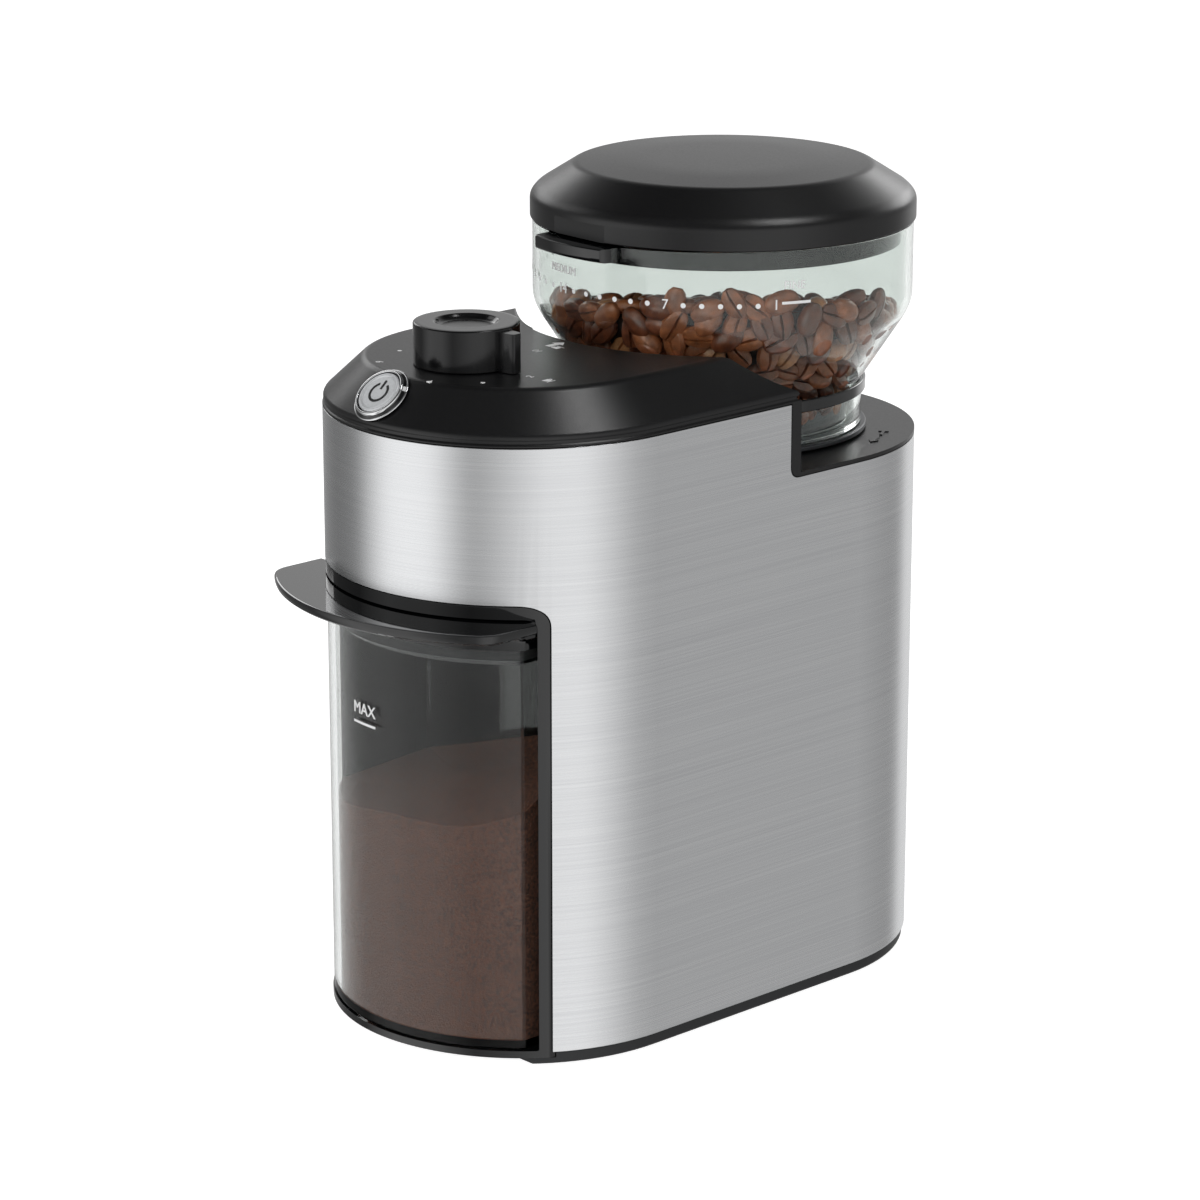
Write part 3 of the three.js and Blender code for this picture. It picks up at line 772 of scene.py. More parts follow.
    def feet(self) -> list[bpy.types.Object]:
        """Returns the four rubber feet, turned with a soft edge and a shallow ring underneath."""
        outline = eased([(0, 0.35), (4.6, 0.35, 0.2), (5.0, 0, 0.2), (7.2, 0, 0.5), (8, 0.6, 0.3),
                         (8, 0.9, 0.1), (2.5, 0.9), (2.5, 3.2, 0.3), (0, 3.2)], 4)
        mids = [Span.of(f"foot_{number}").mid for number in range(1, 5)]
        return [paint(turned(f"foot_pad_{number}", outline, mid.y, mid.x, 48), RUBBER)
                for number, mid in enumerate(mids, 1)]

    def vents(self) -> bpy.types.Object:
        """Returns the slots under the base as dark bars, painted shade for the slots' insides, repeated along
        the tray by Geometry Nodes.
        """
        start = Vector((0, 4, Span.of("base_tray").lo.z - 0.02)) * MM
        # The dark bars are painted shade standing for the insides of the slots, which are not cut.
        return Row(count=9, pitch=5.0, length=34.0, width=1.6, depth=0.5).build("vent_slots", start)

    def build(self) -> None:
        """Builds and delivers every housing piece."""
        deliver(self.sleeve(), "root", ("steel_shell",))
        deliver(self.cover(), "root", ("top_cover",))
        deliver(self.front_frame(), "root", ("front_frame",))
        deliver(self.base(), "root", ("base_tray",))
        for number, pad in enumerate(self.feet(), 1):
            deliver(pad, "root", (f"foot_{number}",))
        deliver(self.vents(), "root")


@dataclass
class Row:
    """A row of flat bars laid along y by a Geometry Nodes tree, in millimetres."""

    count: int
    pitch: float
    length: float
    width: float
    depth: float

    def tree(self) -> bpy.types.NodeTree:
        """Returns the tree, whose inputs are the row's count, pitch and bar size."""
        tree = bpy.data.node_groups.new("bar_row", "GeometryNodeTree")
        for name, way, kind in (("Geometry", "INPUT", "Geometry"), ("Count", "INPUT", "Int"),
                                ("Pitch", "INPUT", "Vector"), ("Start", "INPUT", "Vector"),
                                ("Bar", "INPUT", "Vector"), ("Material", "INPUT", "Material"),
                                ("Geometry", "OUTPUT", "Geometry")):
            tree.interface.new_socket(name, in_out=way, socket_type="NodeSocket" + kind)
        given = add_node(tree, "NodeGroupInput").outputs
        line = add_node(tree, "GeometryNodeMeshLine", links={
            "Count": given["Count"], "Start Location": given["Start"], "Offset": given["Pitch"]})
        bar = add_node(tree, "GeometryNodeMeshCube", links={"Size": given["Bar"]})
        placed = add_node(tree, "GeometryNodeInstanceOnPoints",
                          links={"Points": line.outputs["Mesh"], "Instance": bar.outputs["Mesh"]})
        real = add_node(tree, "GeometryNodeRealizeInstances", links={"Geometry": placed.outputs["Instances"]})
        dressed = add_node(tree, "GeometryNodeSetMaterial",
                           links={"Geometry": real.outputs["Geometry"], "Material": given["Material"]})
        add_node(tree, "NodeGroupOutput", links={"Geometry": dressed.outputs["Geometry"]})
        return tree

    def build(self, name: str, start: Vector) -> bpy.types.Object:
        """Returns the row as a plain mesh, from its middle bar's place in metres."""
        first = start - Vector((0, self.pitch * MM * (self.count - 1) / 2, 0))
        values = {
            "Count": self.count,
            "Pitch": (0.0, self.pitch * MM, 0.0),
            "Start": tuple(first),
            "Bar": (self.length * MM, self.width * MM, self.depth * MM),
            "Material": NYLON_BLACK.make(),
        }
        return grown(name, self.tree(), values)


def grown(name: str, tree: bpy.types.NodeTree, values: dict) -> bpy.types.Object:
    """Runs a Geometry Nodes tree once and keeps its result as a plain mesh.

    Args:
        name: The piece's name.
        tree: The tree.
        values: What each named input is set to.

    Returns:
        The object, with no modifier left.
    """
    made = stand(name, bpy.data.meshes.new(name))
    modifier = made.modifiers.new("grow", "NODES")
    modifier.node_group = tree
    for socket in tree.interface.items_tree:
        if socket.in_out == "INPUT" and socket.name in values:
            modifier[socket.identifier] = values[socket.name]
    settle(made)
    return made


# ---------------------------------------------------------------- controls


@dataclass
class PowerButton:
    """The push button in its bright ring, standing square on the front shoulder."""

    x: float = -2.0
    y: float = -93.15
    r: float = 7.45

    def on_shoulder(self, made: bpy.types.Object) -> bpy.types.Object:
        """Puts a piece drawn along +Z on the shoulder's slope."""
        slope = math.atan2(DECK_Z - SHOULDER_Z, SHOULDER_IN)
        z = SHOULDER_Z + (BODY_R - (FRONT_Y - self.y)) * math.tan(slope)
        return shift(made, Vector((self.x, self.y, z)) * MM, slope, "X")

    def ring(self) -> bpy.types.Object:
        """Returns the boss: a black flank, a chrome ring at its foot that stands in for the highlight on its
        fillet, and a bright rim.
        """
        flank = eased([(7.75, -5), (8.6, -5), (8.6, 0.3), (9.75, 0.3, 0.2), (9.6, 0.6, 0.1), (8.75, 1.5, 0.2),
                       (8.3, 2.1, 0.3), (7.75, 2.1, 0.15)], 5)
        # Painted highlight: a chrome ring stands for the light caught on the fillet at the boss's foot.
        foot = eased([(9.3, 0.35), (9.95, 0.35, 0.2), (9.8, 0.75, 0.2), (9.3, 0.75)], 4)
        rim = eased([(7.78, 1.3), (8.75, 1.3), (8.7, 2.25, 0.45), (7.78, 2.3, 0.3)], 5)
        rows = (("boss", flank, ABS_GLOSS), ("foot_highlight_ring", foot, CHROME), ("rim", rim, CHROME))
        parts = [paint(turned(name, outline), finish) for name, outline, finish in rows]
        return self.on_shoulder(join("button_ring", parts))

    def cap(self) -> bpy.types.Object:
        """Returns the silver cap with its raised rim and the printed power sign."""
        r = self.r
        face = eased([(0, -5), (r, -5), (r, 1.9, 0.3), (r - 0.35, 2.35, 0.3), (r - 1.1, 2.35, 0.3),
                      (r - 1.5, 2.0, 0.2), (0, 2.12)], 5)
        cap = paint(turned("cap", face), BUTTON_PAINT)
        return self.on_shoulder(join("button_cap", [cap, *self.sign()]))

    def sign(self) -> list[bpy.types.Object]:
        """Returns the ring open at the top and the bar in its gap, printed on the cap."""
        inner, outer, z = 2.9, 3.75, (2.06, 2.16)
        gap = math.radians(30)
        turns = [math.pi / 2 + gap + (2 * math.pi - 2 * gap) * k / 48 for k in range(49)]
        outline = [(outer * math.cos(t), outer * math.sin(t)) for t in turns]
        outline += [(inner * math.cos(t), inner * math.sin(t)) for t in reversed(turns)]
        strip = [[Vector((*outline[k], z[0])), Vector((*outline[k], z[1])),
                  Vector((*outline[-1 - k], z[1])), Vector((*outline[-1 - k], z[0]))]
                 for k in range(len(turns))]
        bar = [(-0.45, 1.1), (0.45, 1.1), (0.45, 4.5), (-0.45, 4.5)]
        return [paint(loft("sign_ring", strip), PRINT_BLACK), paint(prism("sign_bar", bar, *z), PRINT_BLACK)]


@dataclass
class DoseKnob:
    """The knob that sets how long it grinds, and the marks around it on the deck."""

    r: float = 16.8
    z0: float = 218.5
    z1: float = 231.9
    pointer: float = 93.0                # the fin's bearing from the front towards the right, in degrees
    reach: float = 27.5                  # distance of the numbers and dots from the knob's axis
    bearings: range = range(94, -200, -35)
    cups: tuple[int, ...] = (94, -116, -186)

    def knob(self) -> bpy.types.Object:
        """Returns the knob with its dished top and its pointer fin."""
        r, z0, z1, y = self.r, self.z0, self.z1, KNOB.mid.y
        outline = eased([(0, 206), (3, 206), (3, z0), (r, z0, 0.3), (r, z1 - 0.2, 1.0), (r - 1.2, z1, 0.6),
                         (10.2, z1, 0.5), (8.6, z1 - 1.5, 1.6), (0, z1 - 1.9)], 6)
        made = turned("knob", outline, y, steps=128)
        blade = eased([(-2.8, 13), (-2.0, 21.4, 0.8), (-1.5, 22.6, 0.8), (1.5, 22.6, 0.8), (2.0, 21.4, 0.8),
                       (2.8, 13)], 5)
        fin = prism("fin", blade, z0, z1 - 0.9)
        combine(made, shift(fin, (0, y * MM, 0), math.radians(self.pointer - 180)), "UNION")
        soften(made, 0.25)
        return paint(made, ABS_SEMI)

    def marks(self) -> list[bpy.types.Object]:
        """Returns the printed numbers, dots and cups around the knob."""
        stamp = Print()
        made = []
        for number, bearing in enumerate(self.bearings):
            at = self.around(bearing, self.reach)
            if number % 2:
                made.append(stamp.dot("dose_dot", at, 0.75, DECK_Z))
            else:
                made.append(stamp.word("dose_mark", str(2 + number), at, 3.6, math.radians(bearing), DECK_Z))
        for bearing in self.cups:
            at = self.around(bearing, self.reach + 7.5)
            made.append(stamp.cup("dose_cup", at, math.radians(bearing), DECK_Z))
        return made

    def around(self, bearing: float, reach: float) -> tuple[float, float]:
        """Returns a place on the deck from its bearing and distance about the knob."""
        t = math.radians(bearing)
        return reach * math.sin(t), KNOB.mid.y - reach * math.cos(t)


@dataclass
class Print:
    """White pad printing, a hair thick, laid flat on the deck or wrapped around a wall."""

    thick: float = 0.06

    def dot(self, name: str, at: tuple[float, float], r: float, z: float) -> bpy.types.Object:
        """Returns a round dot of radius r lying at a height."""
        return paint(rod(name, r, z - PRINT_SINK, z + self.thick, at[1], at[0], 20), PRINT_WHITE)

    def word(self, name: str, text: str, at: tuple[float, float], size: float, turn: float,
             z: float) -> bpy.types.Object:
        """Returns a word lying flat.

        Args:
            name: The piece's name.
            text: The word.
            at: Its middle.
            size: Height of its letters.
            turn: Angle about the vertical, in radians.
            z: Height of the surface under it.

        Returns:
            The word.
        """
        place = Vector((at[0], at[1], z - PRINT_SINK)) * MM
        return paint(shift(self.flat(name, text, size), place, turn), PRINT_WHITE)

    def flat(self, name: str, text: str, size: float) -> bpy.types.Object:
        """Returns a centred word as a mesh in the XY plane.

        Args:
            name: The piece's name.
            text: The word.
            size: Height of its letters.

        Returns:
            The word, without a finish.
        """
        curve = bpy.data.curves.new(name, "FONT")
        curve.body = text
        curve.size = size * MM
        curve.align_x = "CENTER"
        curve.align_y = "CENTER"
        curve.extrude = (self.thick + PRINT_SINK) * MM
        curve.resolution_u = 3
        typed = stand(name + "_typed", curve)
        bpy.context.view_layer.update()
        graph = bpy.context.evaluated_depsgraph_get()
        mesh = bpy.data.meshes.new_from_object(typed.evaluated_get(graph))
        bpy.data.objects.remove(typed)
        return stand(name, mesh)

    def cup(self, name: str, at: tuple[float, float], turn: float, z: float) -> bpy.types.Object:
        """Returns a small cup sign lying flat.

        Args:
            name: The piece's name.
            at: Its middle.
            turn: Angle about the vertical, in radians.
            z: Height of the surface under it.

        Returns:
            The sign.
        """
        bowl = [(-1.5, 1.2), (-1.2, -0.5), (-0.8, -1.0), (0.6, -1.0), (1.0, -0.5), (1.3, 1.2)]
        ear = [(1.35, 0.9), (2.1, 0.8), (2.0, -0.1), (1.2, -0.4), (1.15, -0.1), (1.7, 0.1), (1.75, 0.55),
               (1.3, 0.6)]
        saucer = [(-1.9, -1.35), (1.7, -1.35), (1.7, -1.65), (-1.9, -1.65)]
        low, high = z - PRINT_SINK, z + self.thick
        made = join(name, [prism(name, outline, low, high) for outline in (bowl, ear, saucer)])
        return paint(shift(made, Vector((at[0], at[1], 0)) * MM, turn), PRINT_WHITE)

    def wrap(self, made: bpy.types.Object, r: float, y: float, bearing: float,
             z: float) -> bpy.types.Object:
        """Bends a flat mesh around a wall about a vertical axis.

        Args:
            made: The flat mesh, centred on the origin.
            r: Radius of the wall.
            y: The axis's y.
            bearing: Where its middle goes, in degrees from the front towards the right.
            z: Height of its middle.

        Returns:
            The piece.
        """
        for vertex in made.data.vertices:
            a, b, up = vertex.co / MM
            turn = math.radians(bearing) + a / r
            out = r + 0.05 + up
            vertex.co = Vector((out * math.sin(turn), y - out * math.cos(turn), z + b)) * MM
        return paint(made, PRINT_WHITE)

    def bar(self, name: str, width: float, height: float) -> bpy.types.Object:
        """Returns a flat bar of that width and height, cut across so that it bends."""
        cuts = 12
        strip = [[Vector((width * (k / cuts - 0.5), height * s, h * self.thick)) for s, h in
                  ((-0.5, 0), (0.5, 0), (0.5, 1), (-0.5, 1))] for k in range(cuts + 1)]
        return loft(name, strip)


@dataclass
class Controls:
    """Power button, dose knob and the printing on the cover."""

    button: PowerButton = field(default_factory=PowerButton)
    dose: DoseKnob = field(default_factory=DoseKnob)

    def arrow(self) -> bpy.types.Object:
        """Returns the white pointer in front of the round wall, which the grind scale is read against."""
        y = HOPPER_Y - ARC_R - 6.5
        outline = [(-1.1, y - 3.2), (1.1, y - 3.2), (1.1, y + 1.2), (2.6, y + 1.2), (0, y + 4.2),
                   (-2.6, y + 1.2), (-1.1, y + 1.2)]
        return paint(prism("pointer", outline, DECK_Z - PRINT_SINK, DECK_Z + Print().thick), PRINT_WHITE)

    def turn_sign(self) -> bpy.types.Object:
        """Returns the raised double arrow on the rear deck, which shows that the hopper turns."""
        z = (REAR_DECK_Z - PRINT_SINK, REAR_DECK_Z + 0.35)
        parts = []
        r, middle = 54.5, 28             # its distance from the hopper axis, and its bearing in degrees
        for sense in (1, -1):
            turns = [math.radians(middle + sense * (1.5 + 5 * k / 8)) for k in range(9)]
            line = [[Vector(((r + w) * math.cos(t), HOPPER_Y + (r + w) * math.sin(t), h))
                     for w, h in ((-0.5, z[0]), (0.5, z[0]), (0.5, z[1]), (-0.5, z[1]))] for t in turns]
            parts.append(loft("sign", line))
            tip = turns[-1]
            way = Vector((-math.sin(tip), math.cos(tip))) * sense
            out = Vector((math.cos(tip), math.sin(tip)))
            at = Vector((0, HOPPER_Y)) + out * r
            corners = [at + out * 1.7, at + way * 2.8, at - out * 1.7]
            parts.append(prism("tip", [(c.x, c.y) for c in corners], *z))
        return join("turn_sign", [paint(part, ABS_SATIN) for part in parts])

    def build(self) -> None:
        """Builds and delivers the controls."""
        deliver(self.button.ring(), "root", ("button_bezel",))
        deliver(self.button.cap(), "button", ("power_button",))
        deliver(self.dose.knob(), "knob", ("dose_knob",))
        deliver(join("deck_print", [*self.dose.marks(), self.arrow()]), "root")
        deliver(self.turn_sign(), "root")


# ---------------------------------------------------------------- hopper and lid


@dataclass
class Hopper:
    """The clear bowl with its beans and printed scale, the ring on its neck, its lid and the collar."""

    r: float = 62.5
    neck: float = 46.2
    wall: float = 2.2
    cone: tuple[float, float] = (197.4, 222.2)
    tab_turn: float = -2.2
    tab_half: float = 16.9
    tab_reach: tuple[float, float] = (58.9, 69.0)

    def bowl(self) -> bpy.types.Object:
        """Returns the clear bowl, with the notch for the lid's tab in its rim."""
        lo, hi = BOWL.lo.z, BOWL.hi.z
        r, neck, w = self.r, self.neck, self.wall
        outline = eased([(neck, lo, 0.4), (neck, self.cone[0], 1.5), (r - 1.6, self.cone[1] - 2.2, 3),
                         (r, self.cone[1] + 2, 3), (r, hi, 0.5), (r - w, hi, 0.5),
                         (r - w, self.cone[1] + 2.4, 3), (r - w - 1.2, self.cone[1] - 1.4, 3),
                         (neck - w, self.cone[0] + 0.6, 1.5), (neck - w, lo + 2, 0.4), (41.4, lo + 2, 0.2),
                         (41.4, lo, 0.2)], 6)
        made = turned("bowl_clear", outline, HOPPER_Y, steps=FINE)
        tab = Span.of("lid_tab")
        combine(made, self.sector(self.tab_half + 0.8, 52, 80, tab.lo.z - 0.4, 280))
        return paint(made, HOPPER_CLEAR)

    def at_tab(self, made: bpy.types.Object) -> bpy.types.Object:
        """Moves a piece drawn in front of the origin to the tab's bearing about the hopper axis."""
        return shift(made, (0, HOPPER_Y * MM, 0), math.radians(self.tab_turn))

    def sector(self, half: float, r0: float, r1: float, z0: float, z1: float,
               ease: float = 0.0) -> bpy.types.Object:
        """Returns a block that reaches forward from the hopper axis at the tab's bearing.

        Args:
            half: Half its width.
            r0: Distance of its near face from the axis.
            r1: Distance of its far face from the axis.
            z0: Height of its underside.
            z1: Height of its top.
            ease: Rounding of its upright edges.

        Returns:
            The block.
        """
        outline = eased([(-half, -r1, ease), (half, -r1, ease), (half, -r0, ease), (-half, -r0, ease)], 8)
        return self.at_tab(prism("sector", outline, z0, z1))

    def scoop(self, half: float, depth: float, top: float) -> bpy.types.Object:
        """Returns the cutter for the finger hollow above the tab, with rounded upper corners.

        Args:
            half: Half its width.
            depth: Distance of its back from the axis.
            top: Height of its upper edge.

        Returns:
            The cutter.
        """
        outline = eased([(-half, 240), (half, 240), (half, top, 4.5), (-half, top, 4.5)], 8)
        return self.at_tab(prism("scoop", outline, -90, -depth, "y"))

    def lid(self) -> bpy.types.Object:
        """Returns the satin lid: a domed top, a sloping band, a rim and the plug under it."""
        cad = Span.of("hopper_lid")
        r, top = cad.hi.x, cad.hi.z
        rim = 250.6
        outside = [(0, top), (30, top - 0.5, 6), (48.6, 268.1, 1.6), (r - 2.0, 260.1, 2.0), (r, 257.6, 1.4),
                   (r, rim, 0.4)]
        inside = [(r - 2.4, rim, 0.4), (r - 2.4, 257.8, 0.5), (58.6, 259.5, 0.5), (58.6, cad.lo.z, 0.4),
                  (56.6, cad.lo.z, 0.4), (56.6, 260, 0.5), (47.6, 265.7, 3), (0, top - 2.4)]
        made = turned("lid_domed", eased([*outside, *inside], 6), HOPPER_Y, steps=FINE)
        tab = Span.of("lid_tab")
        combine(made, self.scoop(self.tab_half + 3.2, r - 1.2, 256.2))
        combine(made, self.sector(self.tab_half + 0.4, 58.8, 90, 240, tab.hi.z + GAP))
        soften(made, 0.4)
        paint(made, ABS_SATIN)
        made.data.materials.append(ABS_GLOSS.make())
        axis = Vector((0, HOPPER_Y)) * MM
        plug_r, plug_top = (self.r - self.wall - 1) * MM, 258 * MM
        for face in made.data.polygons:
            if (face.center.xy - axis).length < plug_r and face.center.z < plug_top:
                face.material_index = 1
        return made

    def tab(self) -> bpy.types.Object:
        """Returns the gloss tab that lifts the lid, rounded at its ends."""
        cad, (near, far) = Span.of("lid_tab"), self.tab_reach
        outline = eased([(near, cad.lo.z, 0.5), (far, cad.lo.z, 1.6), (far, cad.hi.z, 0.8),
                         (near, cad.hi.z, 0.4)], 6)
        made = turned("lid_tab_gloss", outline, HOPPER_Y, steps=240)
        combine(made, self.sector(self.tab_half, 40, far + 0.6, 200, 300, 7.0), "INTERSECT")
        soften(made, 0.5)
        return paint(made, ABS_GLOSS)

    def neck_ring(self) -> bpy.types.Object:
        """Returns the black ring around the neck."""
        cad, inner, outer = Span.of("neck_ring"), self.neck + GAP, 47.6
        outline = eased([(inner, cad.lo.z, 0.2), (outer, cad.lo.z, 0.8), (outer, cad.hi.z, 1.0),
                         (inner, cad.hi.z, 0.2)], 5)
        return paint(turned("neck_band", outline, HOPPER_Y, steps=FINE), ABS_GLOSS)

    def collar(self) -> bpy.types.Object:
        """Returns the turned collar that drives the grind setting, seen through the neck."""
        cad, inner, outer, flange = Span.of("grind_ring"), 38.6, 41, 48
        outline = eased([(inner, cad.lo.z), (outer, cad.lo.z), (outer, 180.3), (flange, 180.3, 0.4),
                         (flange, 182, 0.6), (outer, 182), (outer, cad.hi.z, 0.8), (inner, cad.hi.z, 0.8)], 5)
        return paint(turned("collar_turned", outline, HOPPER_Y, steps=FINE), DRUM)

    def scale(self) -> bpy.types.Object:
        """Returns the printed grind scale: numbers, dots between them, and words for ends and middle."""
        stamp = Print()
        parts = []
        first, step, z = 61.1, 5.44, 233.0  # bearing of the 1, degrees between marks, height
        turns = [2 * math.pi * k / 16 for k in range(16)]
        spot = [(0.85 * math.cos(t), 0.85 * math.sin(t)) for t in turns]
        for number in range(1, 28):
            if number in (1, 7, 14, 21, 27):
                made = stamp.flat("scale_number", str(number), 4.6)
            else:
                made = prism("scale_dot", spot, 0, stamp.thick)
            parts.append(stamp.wrap(made, self.r, HOPPER_Y, first - step * (number - 1), z))
        parts.append(stamp.wrap(stamp.bar("scale_line", 9.8, 0.9), self.r, HOPPER_Y, first + 6.2, z + 0.6))
        for text, bearing in (("FINE", first + 5.6), ("MEDIUM", -9.6), ("COARSE", -80)):
            parts.append(stamp.wrap(stamp.flat("scale_word", text, 3.7), self.r, HOPPER_Y, bearing, z + 6.2))
        return join("grind_scale", parts)

    def build(self) -> None:
        """Builds and delivers the hopper's pieces."""
        deliver(self.bowl(), "hopper", ("hopper_bowl",))
        deliver(self.neck_ring(), "hopper", ("neck_ring",))
        deliver(self.scale(), "hopper")
        deliver(Beans().build(), "hopper")
        deliver(self.lid(), "lid", ("hopper_lid",))
        deliver(self.tab(), "lid", ("lid_tab",))
        deliver(self.collar(), "grind_collar", ("grind_ring",))


@dataclass
class Beans:
    """Roasted beans heaped in the bowl, over a core painted near black as their shade, which stands for the
    ones out of sight.
    """

    length: float = 11.3
    width: float = 7.7
    depth: float = 5.3
    seed: int = 7
    core_gap: float = 5.5                # how far the core stays in from the wall
    middle: float = 217.3                # height of the heap on the hopper axis
    slope: float = 0.287                 # how steeply it rises towards the front right
    banked: float = 5.2                  # how much higher it lies against the wall on either side
    rows: tuple[float, float, float] = (192.5, 241.0, 5.6)  # heights of the beans along the wall, and step
    row_pitch: float = 8.2
    rings: tuple[float, float] = (56.0, 7.4)  # reach of the rings of beans on the heap, and step
    ring_pitch: float = 8.6

    def bean(self) -> bpy.types.Mesh:
        """Returns one bean: a rounded back and a flat belly with the crease along it."""
        rings = 8
        turns = (0, 30, 60, 90, 120, 150, 180, 210, 235, 255, 263, 270, 277, 285, 305, 330)
        around = len(turns)
        points = [Vector((-self.length / 2, 0, 0.2 * self.depth))]
        for i in range(1, rings):
            t = math.pi * i / rings
            x, swell = -math.cos(t) * self.length / 2, math.sin(t) ** 0.8
            bow = 0.35 * math.sin(2 * t)  # the crease wanders a little from end to end
            for turn in turns:
                a = math.radians(turn)
                y = math.cos(a) * self.width / 2 * swell
                z = math.sin(a) * self.depth * 0.62 * swell
                if turn > 180:
                    z = -abs(math.sin(a)) ** 0.6 * self.depth * 0.38 * swell
                if 255 <= turn <= 285:
                    y += bow
                if turn == 270:
                    z += 1.9 * swell
                points.append(Vector((x, y, z)))
        points.append(Vector((self.length / 2, 0, 0.2 * self.depth)))
        faces = [(0, 1 + (k + 1) % around, 1 + k) for k in range(around)]
        for i in range(rings - 2):
            a, b = 1 + i * around, 1 + (i + 1) * around
            faces += [(a + k, a + (k + 1) % around, b + (k + 1) % around, b + k) for k in range(around)]
        last, end = 1 + (rings - 2) * around, len(points) - 1
        faces += [(last + k, last + (k + 1) % around, end) for k in range(around)]
        made = mesh_object("bean_shape", points, faces)
        mesh = made.data
        bpy.data.objects.remove(made)
        return mesh

    def wall(self, z: float) -> float:
        """Returns the bowl's inner radius at a height."""
        hopper = Hopper()
        z0, z1 = hopper.cone
        share = min(1.0, max(0.0, (z - z0) / (z1 - z0)))
        return hopper.neck + (hopper.r - hopper.neck) * share - hopper.wall

    def surface(self, x: float, y: float) -> float:
        """Returns the heap's height over a place: piled up at the front right, low at the back left."""
        right, ahead = 0.73, 0.683       # the way to the front right, as shares of x and of -y
        near = right * x - ahead * (y - HOPPER_Y)
        side = ahead * x + right * (y - HOPPER_Y)
        return self.middle + self.slope * near + self.banked * (side / 58) ** 6

    def places(self) -> list[Matrix]:
        """Returns where the beans lie: layers against the wall and a layer over the heap."""
        pick = random.Random(self.seed)
        out = []
        level, top, rise = self.rows
        while level < top:
            inner = self.wall(level)
            count = int(2 * math.pi * (inner - 3.4) / self.row_pitch)
            for k in range(count):
                turn = 2 * math.pi * (k + pick.uniform(-0.25, 0.25)) / count
                r = inner - 3.6 - pick.uniform(0, 1.6)
                x, y = r * math.cos(turn), HOPPER_Y + r * math.sin(turn)
                z = level + pick.uniform(-1.4, 1.4)
                if z < self.surface(x, y):
                    out.append(self.lie(x, y, z, turn, pick, flat=False))
            level += rise
        ring, (reach, wider) = 0.0, self.rings
        while ring < reach:
            count = max(1, int(2 * math.pi * ring / self.ring_pitch))
            for k in range(count):
                turn = 2 * math.pi * (k + pick.uniform(-0.3, 0.3)) / count
                x, y = ring * math.cos(turn), HOPPER_Y + ring * math.sin(turn)
                z = self.surface(x, y) + pick.uniform(-1.2, 1.6)
                if ring < self.wall(z) - 4.5:
                    out.append(self.lie(x, y, z, turn, pick, flat=True))
            ring += wider
        return out

    def lie(self, x: float, y: float, z: float, turn: float, pick: random.Random, flat: bool) -> Matrix:
        """Returns one bean's place, on the heap or against the wall with its crease or back outwards.

        Args:
            x: Its middle's x.
            y: Its middle's y.
            z: Its middle's height.
            turn: Its bearing about the hopper axis, in radians.
            pick: Where the random draws come from.
            flat: True on the heap, False against the wall.

        Returns:
            The place, in millimetres.
        """
        place = Matrix.Translation(Vector((x, y, z)))
        size = Matrix.Scale(pick.uniform(0.86, 1.06), 4)
        if flat:
            over = Matrix.Rotation(math.pi if pick.random() < 0.45 else 0.0, 4, "X")
            tip = Matrix.Rotation(pick.uniform(-0.5, 0.5), 4, "Y")
            return place @ Matrix.Rotation(pick.uniform(0, 2 * math.pi), 4, "Z") @ tip @ over @ size
        stand = Matrix.Rotation(turn, 4, "Z") @ Matrix.Rotation(math.pi / 2, 4, "Y")
        face = math.pi if pick.random() < 0.6 else 0.0
        roll = Matrix.Rotation(face + pick.uniform(-0.5, 0.5), 4, "X")
        return place @ stand @ Matrix.Rotation(pick.uniform(0, 2 * math.pi), 4, "Z") @ roll @ size

    def core(self) -> bpy.types.Object:
        """Returns the mass behind the beans that are seen, painted near black as the shade they lie in."""
        steps, high = 64, 300.0
        levels = ((191.5, 0.9), (197.0, 1.0), (204.0, 1.0), (211.0, 1.0), (218.0, 1.0), (225.0, 1.0),
                  (high, 0.98), (high, 0.8), (high, 0.5))
        rings = [[self.under(2 * math.pi * k / steps, z, share) for k in range(steps)]
                 for z, share in levels]
        return paint(loft("bean_core", rings), BEAN_SHADE_CORE)

    def under(self, turn: float, z: float, share: float) -> Vector:
        """Returns a place on the core, at a height or as high as the heap above it allows.

        Args:
            turn: Its bearing about the hopper axis, in radians.
            z: The height, if the heap is high enough.
            share: How far out it lies, as a share of the way to the core's side.

        Returns:
            The place.
        """
        for _ in range(4):
            r = (self.wall(z) - self.core_gap) * share
            x, y = r * math.cos(turn), HOPPER_Y + r * math.sin(turn)
            z = min(z, self.surface(x, y) - 3.2)
        return Vector((x, y, z))

    def build(self) -> bpy.types.Object:
        """Returns beans and core as one mesh."""
        shape = self.bean()
        roasts = (BEAN_PALE, BEAN, BEAN_DEEP)
        pick = random.Random(self.seed + 1)
        work = bmesh.new()
        for place in self.places():
            start, first = len(work.verts), len(work.faces)
            work.from_mesh(shape)
            work.verts.ensure_lookup_table()
            work.faces.ensure_lookup_table()
            roast = pick.choices(range(len(roasts)), (2, 5, 4))[0]
            for face in work.faces[first:]:
                face.material_index = roast
            moved = Matrix.Scale(MM, 4) @ place @ Matrix.Scale(1 / MM, 4)
            bmesh.ops.transform(work, matrix=moved, verts=work.verts[start:])
        mesh = bpy.data.meshes.new("beans")
        work.to_mesh(mesh)
        work.free()
        heap = stand("beans", mesh)
        bpy.data.meshes.remove(shape)
        for finish in roasts:
            heap.data.materials.append(finish.make())
        return join("coffee_beans", [heap, self.core()])


# ---------------------------------------------------------------- grounds container


